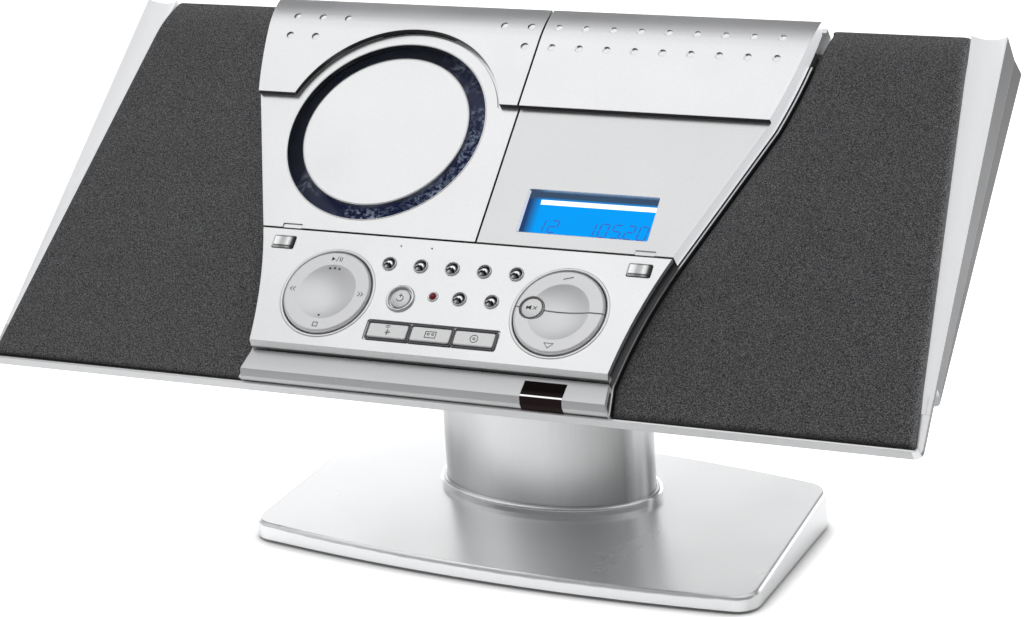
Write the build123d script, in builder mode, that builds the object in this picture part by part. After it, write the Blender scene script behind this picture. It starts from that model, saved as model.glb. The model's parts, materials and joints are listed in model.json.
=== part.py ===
"""Desk radio with a disc lid, a cassette lid and a clock display, on a pedestal.

Millimetres, +Z up. The front faces -Y and X runs to the right. The floor is z = 0 and the origin lies
under the middle of the object. Most pieces are drawn in the frame of the sloping front panel: x to the
right, v up the slope and w out of the face.
"""

from build123d import *
from math import asin, cos, radians, sin, sqrt
import os

os.makedirs("parts", exist_ok=True)

# Sloping front panel
lean = 49.3
panel_y = 2.77
panel_z = 224.5

# Body outline, half widths and heights up the slope
body_top = 86.0
body_bottom = -147.4
body_half_top = 243.5
body_half_bottom = 250.5
grille_half_top = 225.0
grille_half_bottom = 247.3
grille_top = 85.2
grille_bottom = -146.0
cover_half_top = 153.0
cover_top = 81.0
lid_half_top = 142.3
cover_bottom = 18.0
console_half_top = 112.2
console_top = -62.5
console_half_bottom = 96.6
console_bottom = -128.2
strip_half = 99.3
strip_top = -130.8

# Depths, measured out of the face
cover_face = 3.0
lid_thickness = 2.5
lid_skirt = -7.5
grille_face = -9.0
tray_face = -14.5
tray_back = -17.5
lip_face = -10.4
seam_top = -33.6
seam_bottom = -24.2
rear_top = -53.0
rear_bottom = -28.3
housing_bottom = -110.5
wall = 2.5

# Bend at the top of the covers and grilles
bend_start = 58.0
cover_bend = 62.8
grille_bend = 62.8

# Lids
split_x = 7.5
split_gap = 1.0
seam_gap = 0.6
ring_x = -62.5
ring_outer = 54.0
ring_inner = 45.5
arch_x = -61.7
arch_v = 0.8
arch_radius = 61.2
hinge_v = 78.0
hinge_w = -14.0
hinge_pin = 2.0
pin_clearance = 0.05
left_arms = (-118.0, -16.0)
right_arms = (34.0, 118.0)
arm_width = 5.0
ear_width = 4.0
ear_gap = 0.3

# Display
display_x = 61.75
display_v = -41.4
display_width = 69.5
display_height = 25.2
display_face = -4.5

# Controls
pad_half = 62.9
pad_v = -97.9
pad_radius = 23.3
pad_hole = 24.0
button_row_x = (-34.7, -17.4, -0.1, 17.2, 34.5)
button_row_v = -78.3
timer_row_x = (8.8, 26.1)
timer_row_v = -94.9
button_radius = 2.8
power_x = -22.4
power_v = -97.6
power_radius = 5.0
led_x = -5.5
led_v = -94.9
led_radius = 1.6
key_pitch = 23.4
key_width = 21.2
key_height = 7.8
key_v = -116.3
open_key_x = 97.0
open_key_v = -70.6
open_key_width = 12.0
open_key_height = 7.0
mute_x = 48.4
mute_v = -96.8
mute_radius = 6.0
volume_split_v = -97.0
key_gap = 0.3
panel_thickness = 2.5
board_face = -8.0
switch_face = -7.3
stem_end = -6.0

# Disc well and drive
well_radius = 61.0
deck_face = -9.5
well_floor = -16.5
chassis_back = -19.0
sled_start = 24.0
sled_travel = 32.0
rod_offset = 18.0
rod_w = -24.0

# Cassette well and deck
cassette_x = 66.0
cassette_v = 11.0
cassette_width = 104.0
cassette_height = 68.0
reel_spacing = 42.5
reel_v = 14.0
flywheel_x = 88.0
flywheel_v = -15.0

# Loudspeakers
speaker_x = 190.0
speaker_v = 15.0
speaker_hole = 31.0

# Stand
base_turn = 3.0
base_pivot = -45.0
base_half_front = 146.5
base_half_back = 140.0
base_front = -46.0
base_side_front = -35.0
base_back = 99.8
base_side_back = 88.5
base_corner = 12.0
base_lift = 1.5
base_front_top = 8.8
base_slope = 0.105
column_y = 45.8
column_half_x = 60.3
column_half_y = 29.5
column_wall = 2.5
collar_width = 3.4
collar_height = 4.4

panel = Plane(
    origin=(0, panel_y, panel_z),
    x_dir=(1, 0, 0),
    z_dir=(0, -cos(radians(lean)), sin(radians(lean))),
)
section = Plane(
    origin=(0, panel_y, panel_z),
    x_dir=(0, sin(radians(lean)), cos(radians(lean))),
    z_dir=(1, 0, 0),
)


def at(x, v, w):
    """Point of the panel frame in the object's frame."""
    return panel.from_local_coords(Vector(x, v, w))


def lathe(x, v):
    """Plane through a turned piece: local x is the radius, local y is w."""
    return Plane(origin=at(x, v, 0), x_dir=(1, 0, 0), z_dir=-section.x_dir)


def turning_axis(x, v):
    """Axis of a turned piece, out of the face."""
    return Axis(at(x, v, 0), panel.z_dir)


rear_slope = (rear_top - rear_bottom) / (body_top + 4 - housing_bottom + 3)


def rear_w(v):
    """Depth of the rear cover's outer face at a height up the slope."""
    return rear_bottom + rear_slope * (v - housing_bottom + 3)


def base_floor(height):
    """Plane of the base plate, turned a little under the housing as the photograph shows."""
    turn = radians(base_turn)
    return Plane(
        origin=(-base_pivot * sin(turn), base_pivot * (1 - cos(turn)), height),
        x_dir=(cos(turn), -sin(turn), 0),
        z_dir=(0, 0, 1),
    )


def base_top(y):
    """Height of the base plate's top face."""
    return base_front_top + base_slope * (y - base_front)


def base_outline(inset):
    """Plan of the base plate with its bowed front and back edges, moved in by an inset."""
    front_corner = (base_half_front - inset, base_side_front + inset)
    back_corner = (base_half_back - inset, base_side_back - inset * 0.7)
    ThreePointArc((-front_corner[0], front_corner[1]), (0, base_front + inset), front_corner)
    Line(front_corner, back_corner)
    ThreePointArc(back_corner, (0, base_back - inset), (-back_corner[0], back_corner[1]))
    Line((-back_corner[0], back_corner[1]), (-front_corner[0], front_corner[1]))


def grille_side(v):
    """Half width over the outer edges of the grilles at a height up the slope."""
    taper = (grille_half_bottom - grille_half_top) / (grille_top - grille_bottom)
    return grille_half_top + taper * (grille_top - v)


def centre_face(w, grow=0.0, x_range=(-200, 200), v_range=(grille_bottom, cover_top)):
    """Outline of the middle part between the grilles, cut to a window of x and v."""
    with BuildSketch(panel.offset(w)) as face:
        with BuildLine():
            for side in (-1, 1):
                top = (side * (cover_half_top + grow + 0.15), body_top + 4)
                shoulder = (side * (cover_half_top + grow), cover_top)
                bend = (side * (149.2 + grow), 49.3)
                waist = (side * (lid_half_top + grow), cover_bottom)
                corner = (side * (console_half_top + grow), console_top)
                curve = (side * (102.0 + grow), -97.2)
                foot = (side * (console_half_bottom + grow), strip_top)
                toe = (side * (strip_half + grow), grille_bottom - 4)
                Line(top, shoulder)
                ThreePointArc(shoulder, bend, waist)
                Line(waist, corner)
                ThreePointArc(corner, curve, foot)
                Line(foot, toe)
            Line((-cover_half_top - grow - 0.15, body_top + 4), (cover_half_top + grow + 0.15, body_top + 4))
            Line((-strip_half - grow, grille_bottom - 4), (strip_half + grow, grille_bottom - 4))
        make_face()
        with Locations(((x_range[0] + x_range[1]) / 2, (v_range[0] + v_range[1]) / 2)):
            Rectangle(x_range[1] - x_range[0], v_range[1] - v_range[0], mode=Mode.INTERSECT)
    return face.sketch


def body_face(w, inset=0.0, low=body_bottom, high=body_top + 10, corner=4.0):
    """Outline of the whole body, seen square to the panel."""
    slope = (body_half_bottom - body_half_top) / (body_top - body_bottom)
    half_low = body_half_top + slope * (body_top - low) - inset
    half_high = body_half_top + slope * (body_top - high) - inset
    with BuildSketch(panel.offset(w)) as face:
        with BuildLine():
            Polyline((-half_low, low), (half_low, low), (half_high, high), (-half_high, high), close=True)
        make_face()
        if corner:
            fillet(face.vertices().sort_by(Axis.Y)[:2], corner)
    return face.sketch


def section_face(x, *points):
    """Closed outline of (v, w) points at one x."""
    with BuildSketch(section.offset(x)) as face:
        with BuildLine():
            Polyline(*points, close=True)
        make_face()
    return face.sketch


def bent_face(x, face_w, depth, radius, low, high, round_low=0.0):
    """Section of a sheet that is flat up to the bend and curves back above it."""
    drop = radius - sqrt(radius**2 - (high - bend_start) ** 2)
    turn = asin((high - bend_start) / radius)
    inner = radius - depth
    middle = turn / 2
    centre_w = face_w - radius
    with BuildSketch(section.offset(x)) as face:
        with BuildLine():
            Line((low, face_w - depth), (low, face_w))
            Line((low, face_w), (bend_start, face_w))
            ThreePointArc(
                (bend_start, face_w),
                (bend_start + radius * sin(middle), centre_w + radius * cos(middle)),
                (high, face_w - drop),
            )
            Line((high, face_w - drop), (bend_start + inner * sin(turn), centre_w + inner * cos(turn)))
            ThreePointArc(
                (bend_start + inner * sin(turn), centre_w + inner * cos(turn)),
                (bend_start + inner * sin(middle), centre_w + inner * cos(middle)),
                (bend_start, face_w - depth),
            )
            Line((bend_start, face_w - depth), (low, face_w - depth))
        make_face()
        if round_low:
            low_corner = section.offset(x).from_local_coords((low, face_w, 0))
            fillet(face.vertices().sort_by_distance(low_corner)[0], round_low)
    return face.sketch


def box_face(w, x, v, width, height, radius=0.0):
    """Rectangle on the panel, by its middle."""
    with BuildSketch(panel.offset(w)) as face:
        with Locations((x, v)):
            if radius:
                RectangleRounded(width, height, radius)
            else:
                Rectangle(width, height)
    return face.sketch


def disc_face(w, *centres, radius=1.0):
    """Circles on the panel."""
    with BuildSketch(panel.offset(w)) as face:
        with Locations(*centres):
            Circle(radius)
    return face.sketch


def dome(half_width, edge, middle):
    """Arc from the rim of a round dome or dish to its middle, centred on the axis."""
    rise = middle - edge
    radius = (half_width**2 + rise**2) / (2 * rise)
    halfway = middle - radius + (1 if rise > 0 else -1) * sqrt(radius**2 - half_width**2 / 4)
    ThreePointArc((half_width, edge), (half_width / 2, halfway), (0, middle))


def save(piece, name):
    """Label a finished piece and write it."""
    piece.label = name
    export_step(piece, f"parts/{name}.step")


# Stand


def above_slope(lift):
    """Outline in YZ of everything above a plane at a height over the base's top face."""
    return Polyline(
        (base_front - 20, base_top(base_front - 20) + lift),
        (base_back + 20, base_top(base_back + 20) + lift),
        (base_back + 20, 200),
        (base_front - 20, 200),
        close=True,
    )


def under_slope(lift):
    """Outline in YZ of everything under a plane at a height over the base's top face."""
    return Polyline(
        (base_front - 20, base_top(base_front - 20) + lift),
        (base_back + 20, base_top(base_back + 20) + lift),
        (base_back + 20, -30),
        (base_front - 20, -30),
        close=True,
    )


with BuildPart() as base_space:
    with BuildSketch(base_floor(base_lift)) as base_inside:
        with BuildLine():
            base_outline(3)
        make_face()
        fillet(base_inside.vertices(), base_corner - 3)
    extrude(amount=40)
    with BuildSketch(Plane.YZ.offset(-base_half_front - 15)):
        with BuildLine():
            above_slope(-3)
        make_face()
    extrude(amount=2 * base_half_front + 30, mode=Mode.SUBTRACT)

with BuildPart() as base_plate:
    with BuildSketch(base_floor(base_lift)) as base_plan:
        with BuildLine():
            base_outline(0)
        make_face()
        fillet(base_plan.vertices(), base_corner)
    extrude(amount=40)
    with BuildSketch(Plane.YZ.offset(-base_half_front - 15)):
        with BuildLine():
            above_slope(0)
        make_face()
    extrude(amount=2 * base_half_front + 30, mode=Mode.SUBTRACT)
    fillet(base_plate.faces().sort_by(Axis.Z)[-1].edges(), 2.2)
    add(base_space.part, mode=Mode.SUBTRACT)
    with BuildSketch(Plane.XY.offset(base_lift + 2.5)):
        with Locations((0, column_y)):
            Rectangle(66, 26)
    extrude(amount=40, mode=Mode.SUBTRACT)
save(base_plate.part, "base_plate")

with BuildPart() as base_weight:
    with BuildSketch(base_floor(base_lift)) as weight_plan:
        with BuildLine():
            base_outline(3.4)
        make_face()
        fillet(weight_plan.vertices(), base_corner - 3.4)
    extrude(amount=2.5)
save(base_weight.part, "base_weight")

foot_x = base_half_back - 19
foot_front = base_side_front + 14
foot_back = base_side_back - 14
with BuildPart() as rubber_feet:
    with BuildSketch(base_floor(0)):
        with Locations(*[(side * foot_x, depth) for side in (-1, 1) for depth in (foot_front, foot_back)]):
            Circle(9)
    extrude(amount=base_lift)
save(rubber_feet.part, "rubber_feet")


# Everything above the rear cover's outer face, used to trim the column and its bracket
rear_low = at(0, housing_bottom - 60, rear_w(housing_bottom - 60))
rear_high = at(0, body_top + 60, rear_w(body_top + 60))

with BuildPart() as column:
    with BuildSketch(Plane.XY):
        with Locations((0, column_y)):
            Ellipse(column_half_x, column_half_y)
            Ellipse(column_half_x - column_wall, column_half_y - column_wall, mode=Mode.SUBTRACT)
    extrude(amount=300)
    with BuildSketch(Plane.YZ.offset(-200)):
        with BuildLine():
            under_slope(0)
        make_face()
    extrude(amount=400, mode=Mode.SUBTRACT)
    with BuildSketch(Plane.YZ.offset(-200)):
        with BuildLine():
            Polyline(
                (rear_low.Y, rear_low.Z),
                (rear_high.Y, rear_high.Z),
                (rear_high.Y, 500),
                (rear_low.Y, 500),
                close=True,
            )
        make_face()
    extrude(amount=400, mode=Mode.SUBTRACT)
save(column.part, "column")

with BuildPart() as column_collar:
    with BuildSketch(Plane.XY):
        with Locations((0, column_y)):
            Ellipse(column_half_x + collar_width, column_half_y + collar_width)
            Ellipse(column_half_x + 0.2, column_half_y + 0.2, mode=Mode.SUBTRACT)
    extrude(amount=60)
    with BuildSketch(Plane.YZ.offset(-200)):
        with BuildLine():
            under_slope(0)
        make_face()
    extrude(amount=400, mode=Mode.SUBTRACT)
    with BuildSketch(Plane.YZ.offset(-200)):
        with BuildLine():
            above_slope(collar_height)
        make_face()
    extrude(amount=400, mode=Mode.SUBTRACT)
    top_edges = column_collar.faces().sort_by(Axis.Z)[-1].edges()
    fillet(top_edges.sort_by(lambda edge: edge.length)[-1], 1.6)
save(column_collar.part, "column_collar")

with BuildPart() as stand_bracket:
    with BuildSketch(Plane.XY.offset(base_lift + 2.5)):
        with Locations((0, column_y)):
            Rectangle(60, 20)
            Rectangle(55, 15, mode=Mode.SUBTRACT)
    extrude(amount=300)
    with BuildSketch(Plane.YZ.offset(-200)):
        with BuildLine():
            Polyline(
                (rear_low.Y, rear_low.Z),
                (rear_high.Y, rear_high.Z),
                (rear_high.Y, 500),
                (rear_low.Y, 500),
                close=True,
            )
        make_face()
    extrude(amount=400, mode=Mode.SUBTRACT)
save(stand_bracket.part, "stand_bracket")

# Housing

half_reach = body_half_bottom + 10
post_face = -25.2
boss_places = ((-221, 52), (221, 52), (-220, -85), (220, -85), (-118, -85), (118, -85), (-168, 52), (168, 52))
bend_inner = grille_bend - (grille_face - tray_face)
bend_centre = tray_face - bend_inner
bend_turn = asin((grille_top - bend_start) / grille_bend)
bend_end = (bend_start + bend_inner * sin(bend_turn), bend_centre + bend_inner * cos(bend_turn))
bend_middle = (bend_start + bend_inner * sin(bend_turn / 2), bend_centre + bend_inner * cos(bend_turn / 2))

with BuildPart() as bend_cut:
    with BuildSketch(section.offset(-half_reach)):
        with BuildLine():
            ThreePointArc((bend_start, tray_face), bend_middle, bend_end)
            Line(bend_end, (body_top + 5, bend_end[1] - 6))
            Line((body_top + 5, bend_end[1] - 6), (body_top + 5, tray_face + 1))
            Line((body_top + 5, tray_face + 1), (bend_start, tray_face + 1))
            Line((bend_start, tray_face + 1), (bend_start, tray_face))
        make_face()
    extrude(amount=2 * half_reach)
    with BuildSketch(panel.offset(-80)):
        for side in (-1, 1):
            with BuildLine():
                Polyline(
                    (side * (cover_half_top - 1.6), bend_start - 1),
                    (side * (grille_side(bend_start - 1) + 0.3), bend_start - 1),
                    (side * (grille_side(body_top + 6) + 0.3), body_top + 6),
                    (side * (cover_half_top - 1.6), body_top + 6),
                    close=True,
                )
            make_face()
    extrude(amount=80, mode=Mode.INTERSECT)

with BuildPart() as front_tray:
    extrude(body_face(-60), amount=60 + tray_face)
    extrude(
        section_face(
            -half_reach,
            (body_top, tray_face),
            (body_bottom - 1, tray_face),
            (body_bottom - 1, tray_back),
            (housing_bottom, tray_back),
            (housing_bottom, seam_bottom),
            (body_top, seam_top),
        ),
        amount=2 * half_reach,
        mode=Mode.INTERSECT,
    )
    # Hollow behind the face, less deep under the coves
    extrude(
        section_face(
            -227,
            (body_top - wall, tray_back - 10),
            (78, tray_back - 6),
            (70, tray_back - 2),
            (bend_start, tray_back),
            (housing_bottom + wall, tray_back),
            (housing_bottom + wall, -60),
            (body_top - wall, -60),
        ),
        amount=454,
        mode=Mode.SUBTRACT,
    )
    extrude(
        section_face(
            -body_half_top + wall,
            (body_top - wall, tray_back - 10),
            (70, tray_back - 3),
            (housing_bottom + wall, tray_back - 3),
            (housing_bottom + wall, -60),
            (body_top - wall, -60),
        ),
        amount=2 * (body_half_top - wall),
        mode=Mode.SUBTRACT,
    )
    extrude(disc_face(post_face, *boss_places, radius=4), amount=tray_back - post_face)
    # Top edges drop back under the bend of the grilles
    add(bend_cut.part, mode=Mode.SUBTRACT)
    # Coves between the grilles and the outer edges
    for side in (-1, 1):
        low_point = at(side * 251.6, -188, tray_face)
        high_point = at(side * 232.8, body_top + 20, tray_face + 11.35)
        along = high_point - low_point
        with Locations(Plane(origin=low_point + along * 0.5, x_dir=(1, 0, 0), z_dir=along.normalized())):
            Cone(0.05, 14.6, along.length, mode=Mode.SUBTRACT)
    # Lip under the grilles and the strip
    extrude(body_face(tray_back, high=body_bottom + 22), amount=lip_face - tray_back)
    with BuildSketch(panel.offset(tray_face)):
        with Locations((0, grille_bottom - 0.3 + 20)):
            Rectangle(2 * grille_half_bottom + 2, 40)
        with Locations((0, body_bottom + 22)):
            Rectangle(600, 40)
    extrude(amount=10, mode=Mode.SUBTRACT)
    # Thin border round the middle part
    extrude(centre_face(tray_back, 1.3, v_range=(grille_bottom + 0.3, bend_start)), amount=-8 - tray_back)
    extrude(centre_face(tray_face, 0.4), amount=20, mode=Mode.SUBTRACT)
    # Openings behind the lids, the console and the loudspeakers
    extrude(centre_face(-40, 0.3, v_range=(console_top, body_top - wall)), amount=40, mode=Mode.SUBTRACT)
    extrude(centre_face(-40, -4, v_range=(console_bottom + 3, console_top + 1)), amount=40, mode=Mode.SUBTRACT)
    extrude(
        disc_face(-40, (-speaker_x, speaker_v), (speaker_x, speaker_v), radius=speaker_hole),
        amount=40,
        mode=Mode.SUBTRACT,
    )
    # Screw holes
    extrude(disc_face(post_face, *boss_places, radius=1.4), amount=5.2, mode=Mode.SUBTRACT)
save(front_tray.part, "front_tray")

rear_face = Plane(
    origin=at(0, 0, rear_w(0)),
    x_dir=(-1, 0, 0),
    z_dir=(section.x_dir * rear_slope - panel.z_dir).normalized(),
)
board_posts = ((-84, -79), (84, -79), (-84, -105), (84, -105))
inlet_x = -150.0
inlet_y = -62.0
transformer_x = 140.0
transformer_v = 47.0
transformer_back = -42.0
head_seat = -28.2


def rear_block(side_reach, top_inset, low_inset, depth_inset):
    """Section of the space in front of the rear cover's back face."""
    return section_face(
        -side_reach,
        (body_top - top_inset, seam_top if top_inset == 0 else 0),
        (housing_bottom + low_inset, seam_bottom if low_inset == 0 else 0),
        (housing_bottom - 3 + low_inset * 2.2, rear_bottom + depth_inset),
        (body_top + 4 - top_inset, rear_top + depth_inset),
    )


with BuildPart() as rear_posts:
    extrude(disc_face(-70, *boss_places, radius=5), amount=70 + post_face)
    extrude(disc_face(-70, *board_posts, radius=3), amount=48)
    for offset in (-13, 13):
        extrude(box_face(-70, transformer_x, transformer_v + offset, 34, 2), amount=70 + transformer_back)
    extrude(rear_block(half_reach, 1, 1, 1), amount=2 * half_reach, mode=Mode.INTERSECT)

with BuildPart() as rear_cover:
    extrude(rear_block(half_reach, 0, 0, 0), amount=2 * half_reach)
    extrude(body_face(-80, low=housing_bottom - 20, corner=0), amount=80, mode=Mode.INTERSECT)
    back_edges = rear_cover.faces().sort_by(Axis(at(0, 0, 0), rear_face.z_dir))[-1].edges()
    fillet(back_edges.sort_by(Axis.Z)[1:], 2.5)
    extrude(
        rear_block(body_half_top - wall, wall, wall, wall),
        amount=2 * (body_half_top - wall),
        mode=Mode.SUBTRACT,
    )
    add(rear_posts.part)
    # Screw wells
    extrude(disc_face(-80, *boss_places, radius=3.4), amount=80 + head_seat, mode=Mode.SUBTRACT)
    extrude(disc_face(-80, *boss_places, radius=1.5), amount=80 + post_face, mode=Mode.SUBTRACT)
    # Air slots and the inlet's opening
    with BuildSketch(rear_face):
        with Locations((-transformer_x, 62), (transformer_x, 62)):
            with GridLocations(7, 0, 9, 1):
                SlotOverall(26, 3, rotation=90)
        with Locations((inlet_x, inlet_y)):
            Rectangle(27, 17)
    extrude(amount=-6, mode=Mode.SUBTRACT)
save(rear_cover.part, "rear_cover")

for name, side in (("grille_left", -1), ("grille_right", 1)):
    with BuildPart() as grille:
        low_x = 60 if side > 0 else -260
        extrude(
            bent_face(low_x, grille_face, grille_face - tray_face, grille_bend, grille_bottom, grille_top, 4.6),
            amount=200,
        )
        with BuildSketch(panel.offset(-60)) as grille_plan:
            with BuildLine():
                Polyline(
                    (side * 60, grille_bottom),
                    (side * grille_half_bottom, grille_bottom),
                    (side * grille_half_top, grille_top),
                    (side * 60, grille_top),
                    close=True,
                )
            make_face()
            fillet(grille_plan.vertices().group_by(Axis.X)[-1 if side > 0 else 0].sort_by(Axis.Y)[0], 4)
        extrude(amount=70, mode=Mode.INTERSECT)
        extrude(centre_face(-60, 1.4, v_range=(grille_bottom - 4, body_top + 4)), amount=70, mode=Mode.SUBTRACT)
    save(grille.part, name)

with BuildPart() as console_trim:
    extrude(centre_face(tray_face, -0.4, v_range=(-130, console_top - 0.3)), amount=-2.5 - tray_face)
    extrude(centre_face(tray_face, -2.4, v_range=(-127.5, console_top - 2.3)), amount=20, mode=Mode.SUBTRACT)
    extrude(box_face(-6, 0, -130, 230, 5), amount=10, mode=Mode.SUBTRACT)
save(console_trim.part, "console_trim")

ring_places = [(x, button_row_v) for x in button_row_x] + [(x, timer_row_v) for x in timer_row_x]
pad_places = ((-pad_half, pad_v), (pad_half, pad_v))
key_places = [(k * key_pitch, key_v) for k in (-1, 0, 1)]
pivot_w = -5.4
pivot_radius = 0.9
with BuildPart() as console_panel:
    extrude(
        section_face(
            -120,
            (console_top - 0.3, 0),
            (console_bottom, 0),
            (-130, -3),
            (-130, -6),
            (-127.5, -6),
            (-127.5, -2.5),
            (console_top - 0.3, -2.5),
        ),
        amount=240,
    )
    extrude(centre_face(-20, -0.4, v_range=(-131, -60)), amount=25, mode=Mode.INTERSECT)
    # Rings round the buttons
    extrude(disc_face(0, *ring_places, radius=button_radius + 1), amount=0.5)
    extrude(disc_face(0, (power_x, power_v), radius=7.5), amount=0.7)
    # Walls under the panel that carry the board and the pad's pivots
    extrude(disc_face(board_face, *pad_places, radius=pad_hole + 2.6), amount=-panel_thickness - board_face)
    extrude(disc_face(board_face, *pad_places, radius=pad_hole + 0.6), amount=5.5, mode=Mode.SUBTRACT)
    extrude(disc_face(-12, *pad_places, radius=pad_hole), amount=15, mode=Mode.SUBTRACT)
    extrude(disc_face(-5, *ring_places, radius=button_radius + key_gap), amount=10, mode=Mode.SUBTRACT)
    extrude(disc_face(-0.8, (power_x, power_v), radius=6.0), amount=5, mode=Mode.SUBTRACT)
    extrude(disc_face(-5, (power_x, power_v), radius=power_radius + key_gap), amount=10, mode=Mode.SUBTRACT)
    extrude(disc_face(-5, (led_x, led_v), radius=led_radius + 0.1), amount=10, mode=Mode.SUBTRACT)
    extrude(box_face(-1, 0, key_v, 72, 11.8, 1.5), amount=5, mode=Mode.SUBTRACT)
    for x, v in key_places:
        extrude(
            box_face(-5, x, v, key_width + 2 * key_gap, key_height + 2 * key_gap, 1.2),
            amount=10,
            mode=Mode.SUBTRACT,
        )
    for side in (-1, 1):
        extrude(
            box_face(-5, side * open_key_x, open_key_v, open_key_width + 0.6, open_key_height + 0.6, 1),
            amount=10,
            mode=Mode.SUBTRACT,
        )
    # Bores of the pad's outer pivot
    with BuildSketch(Plane(origin=at(-pad_half - 30, pad_v, pivot_w), x_dir=section.x_dir, z_dir=(1, 0, 0))):
        Circle(pivot_radius + pin_clearance)
    extrude(amount=60, mode=Mode.SUBTRACT)
save(console_panel.part, "console_panel")

with BuildPart() as strip_block:
    with BuildSketch(section.offset(-120)) as strip_section:
        with BuildLine():
            Polyline(
                (strip_top, tray_face),
                (strip_top, -5.2),
                (-142.8, -3.5),
                (-145.4, -6.6),
                (grille_bottom, -9.5),
                (grille_bottom, tray_face),
                close=True,
            )
        make_face()
        with BuildLine():
            Polyline(
                (strip_top - 2.5, tray_face),
                (strip_top - 2.5, -7.6),
                (-142.3, -6.2),
                (-143.7, -9),
                (-143.7, tray_face),
                close=True,
            )
        make_face(mode=Mode.SUBTRACT)
    extrude(amount=240)
    extrude(centre_face(-20, -0.3, v_range=(-150, -130)), amount=25, mode=Mode.INTERSECT)

window_low_x = 54.0
window_high_x = 75.6
window_top = -133.4
with BuildPart() as bottom_strip:
    add(strip_block.part)
    with BuildSketch(panel.offset(-20)):
        with Locations(((window_low_x + window_high_x) / 2, window_top - 10)):
            Rectangle(window_high_x - window_low_x + 0.4, 20)
    extrude(amount=20, mode=Mode.SUBTRACT)
save(bottom_strip.part, "bottom_strip")

with BuildPart() as ir_window:
    add(strip_block.part)
    with BuildSketch(panel.offset(-20)):
        with Locations(((window_low_x + window_high_x) / 2, window_top - 0.2 - 10)):
            Rectangle(window_high_x - window_low_x, 20)
    extrude(amount=20, mode=Mode.INTERSECT)
save(ir_window.part, "ir_window")

# Inner chassis with the wells

ear_places = []
for arm in left_arms + right_arms:
    ear_places.append(arm - arm_width / 2 - ear_gap - ear_width)
    ear_places.append(arm + arm_width / 2 + ear_gap)
cassette_left = cassette_x - cassette_width / 2
with BuildPart() as inner_chassis:
    extrude(centre_face(chassis_back, -2.5, v_range=(-62.4, 70)), amount=deck_face - chassis_back)
    extrude(centre_face(chassis_back - 1, -4.5, v_range=(-60.9, 68)), amount=8, mode=Mode.SUBTRACT)
    # Flange behind the front tray
    extrude(centre_face(chassis_back, 8, v_range=(-50, bend_start)), amount=tray_back - chassis_back)
    extrude(centre_face(chassis_back - 1, -4.5, v_range=(-60.9, 68)), amount=8, mode=Mode.SUBTRACT)
    # Disc well
    extrude(disc_face(chassis_back, (ring_x, 0), radius=well_radius + 1.4), amount=deck_face - chassis_back)
    # Cassette well and the surround of the display
    extrude(box_face(-16.5, cassette_x, cassette_v, cassette_width + 4, cassette_height + 4), amount=7)
    extrude(box_face(-12, display_x, display_v, 77.4, 33.4, 1), amount=8.4)
    # Trough of the hinge
    extrude(
        section_face(
            -138,
            (68, deck_face),
            (70, deck_face),
            (70, -21),
            (body_top - wall, -21),
            (body_top - wall, -23.5),
            (68, -23.5),
        ),
        amount=276,
    )
    for place in ear_places:
        with BuildSketch(section.offset(place)):
            with Locations((hinge_v, hinge_w)):
                Circle(4)
            with Locations((hinge_v, (hinge_w - 21) / 2)):
                Rectangle(8, hinge_w + 21)
        extrude(amount=ear_width)
    extrude(box_face(-40, 0, console_top - 10, 300, 20.2), amount=50, mode=Mode.SUBTRACT)
    # Wells, openings of the drive and bores of the hinge
    extrude(disc_face(well_floor, (ring_x, 0), radius=well_radius), amount=10, mode=Mode.SUBTRACT)
    extrude(disc_face(-30, (ring_x, 0), radius=15.2), amount=30, mode=Mode.SUBTRACT)
    extrude(box_face(-30, ring_x, -40.2, 14, 40.6), amount=30, mode=Mode.SUBTRACT)
    extrude(box_face(-30, cassette_x, cassette_v, cassette_width, cassette_height), amount=30, mode=Mode.SUBTRACT)
    extrude(box_face(deck_face, display_x, display_v, 74.4, 30.4), amount=10, mode=Mode.SUBTRACT)
    with BuildSketch(section.offset(-150)):
        with Locations((hinge_v, hinge_w)):
            Circle(hinge_pin + pin_clearance)
    extrude(amount=300, mode=Mode.SUBTRACT)
save(inner_chassis.part, "inner_chassis")

with BuildPart() as lcd_display:
    extrude(box_face(deck_face, display_x, display_v, 74, 30, 0.6), amount=display_face - deck_face)
save(lcd_display.part, "lcd_display")

# Lids

pin_reach = ear_gap + ear_width - 0.2


def lid_arms(places):
    """Arms under a lid with the hinge pins on both sides."""
    with BuildPart() as arms:
        for place in places:
            with BuildSketch(section.offset(place - arm_width / 2)):
                with BuildLine():
                    Polyline(
                        (44, -2.5),
                        (57.5, -2.5),
                        (78, -10.5),
                        (78, -17.4),
                        (72.2, -13.4),
                        (71, -8.6),
                        (44, -6),
                        close=True,
                    )
                make_face()
                with Locations((hinge_v, hinge_w)):
                    Circle(3.5)
            extrude(amount=arm_width)
            with BuildSketch(section.offset(place - arm_width / 2 - pin_reach)):
                with Locations((hinge_v, hinge_w)):
                    Circle(hinge_pin)
            extrude(amount=arm_width + 2 * pin_reach)
    return arms.part


lid_windows = {
    "left": (-200, split_x - split_gap / 2),
    "right": (split_x + split_gap / 2, 200),
}
lid_low = console_top + 0.7


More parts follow.
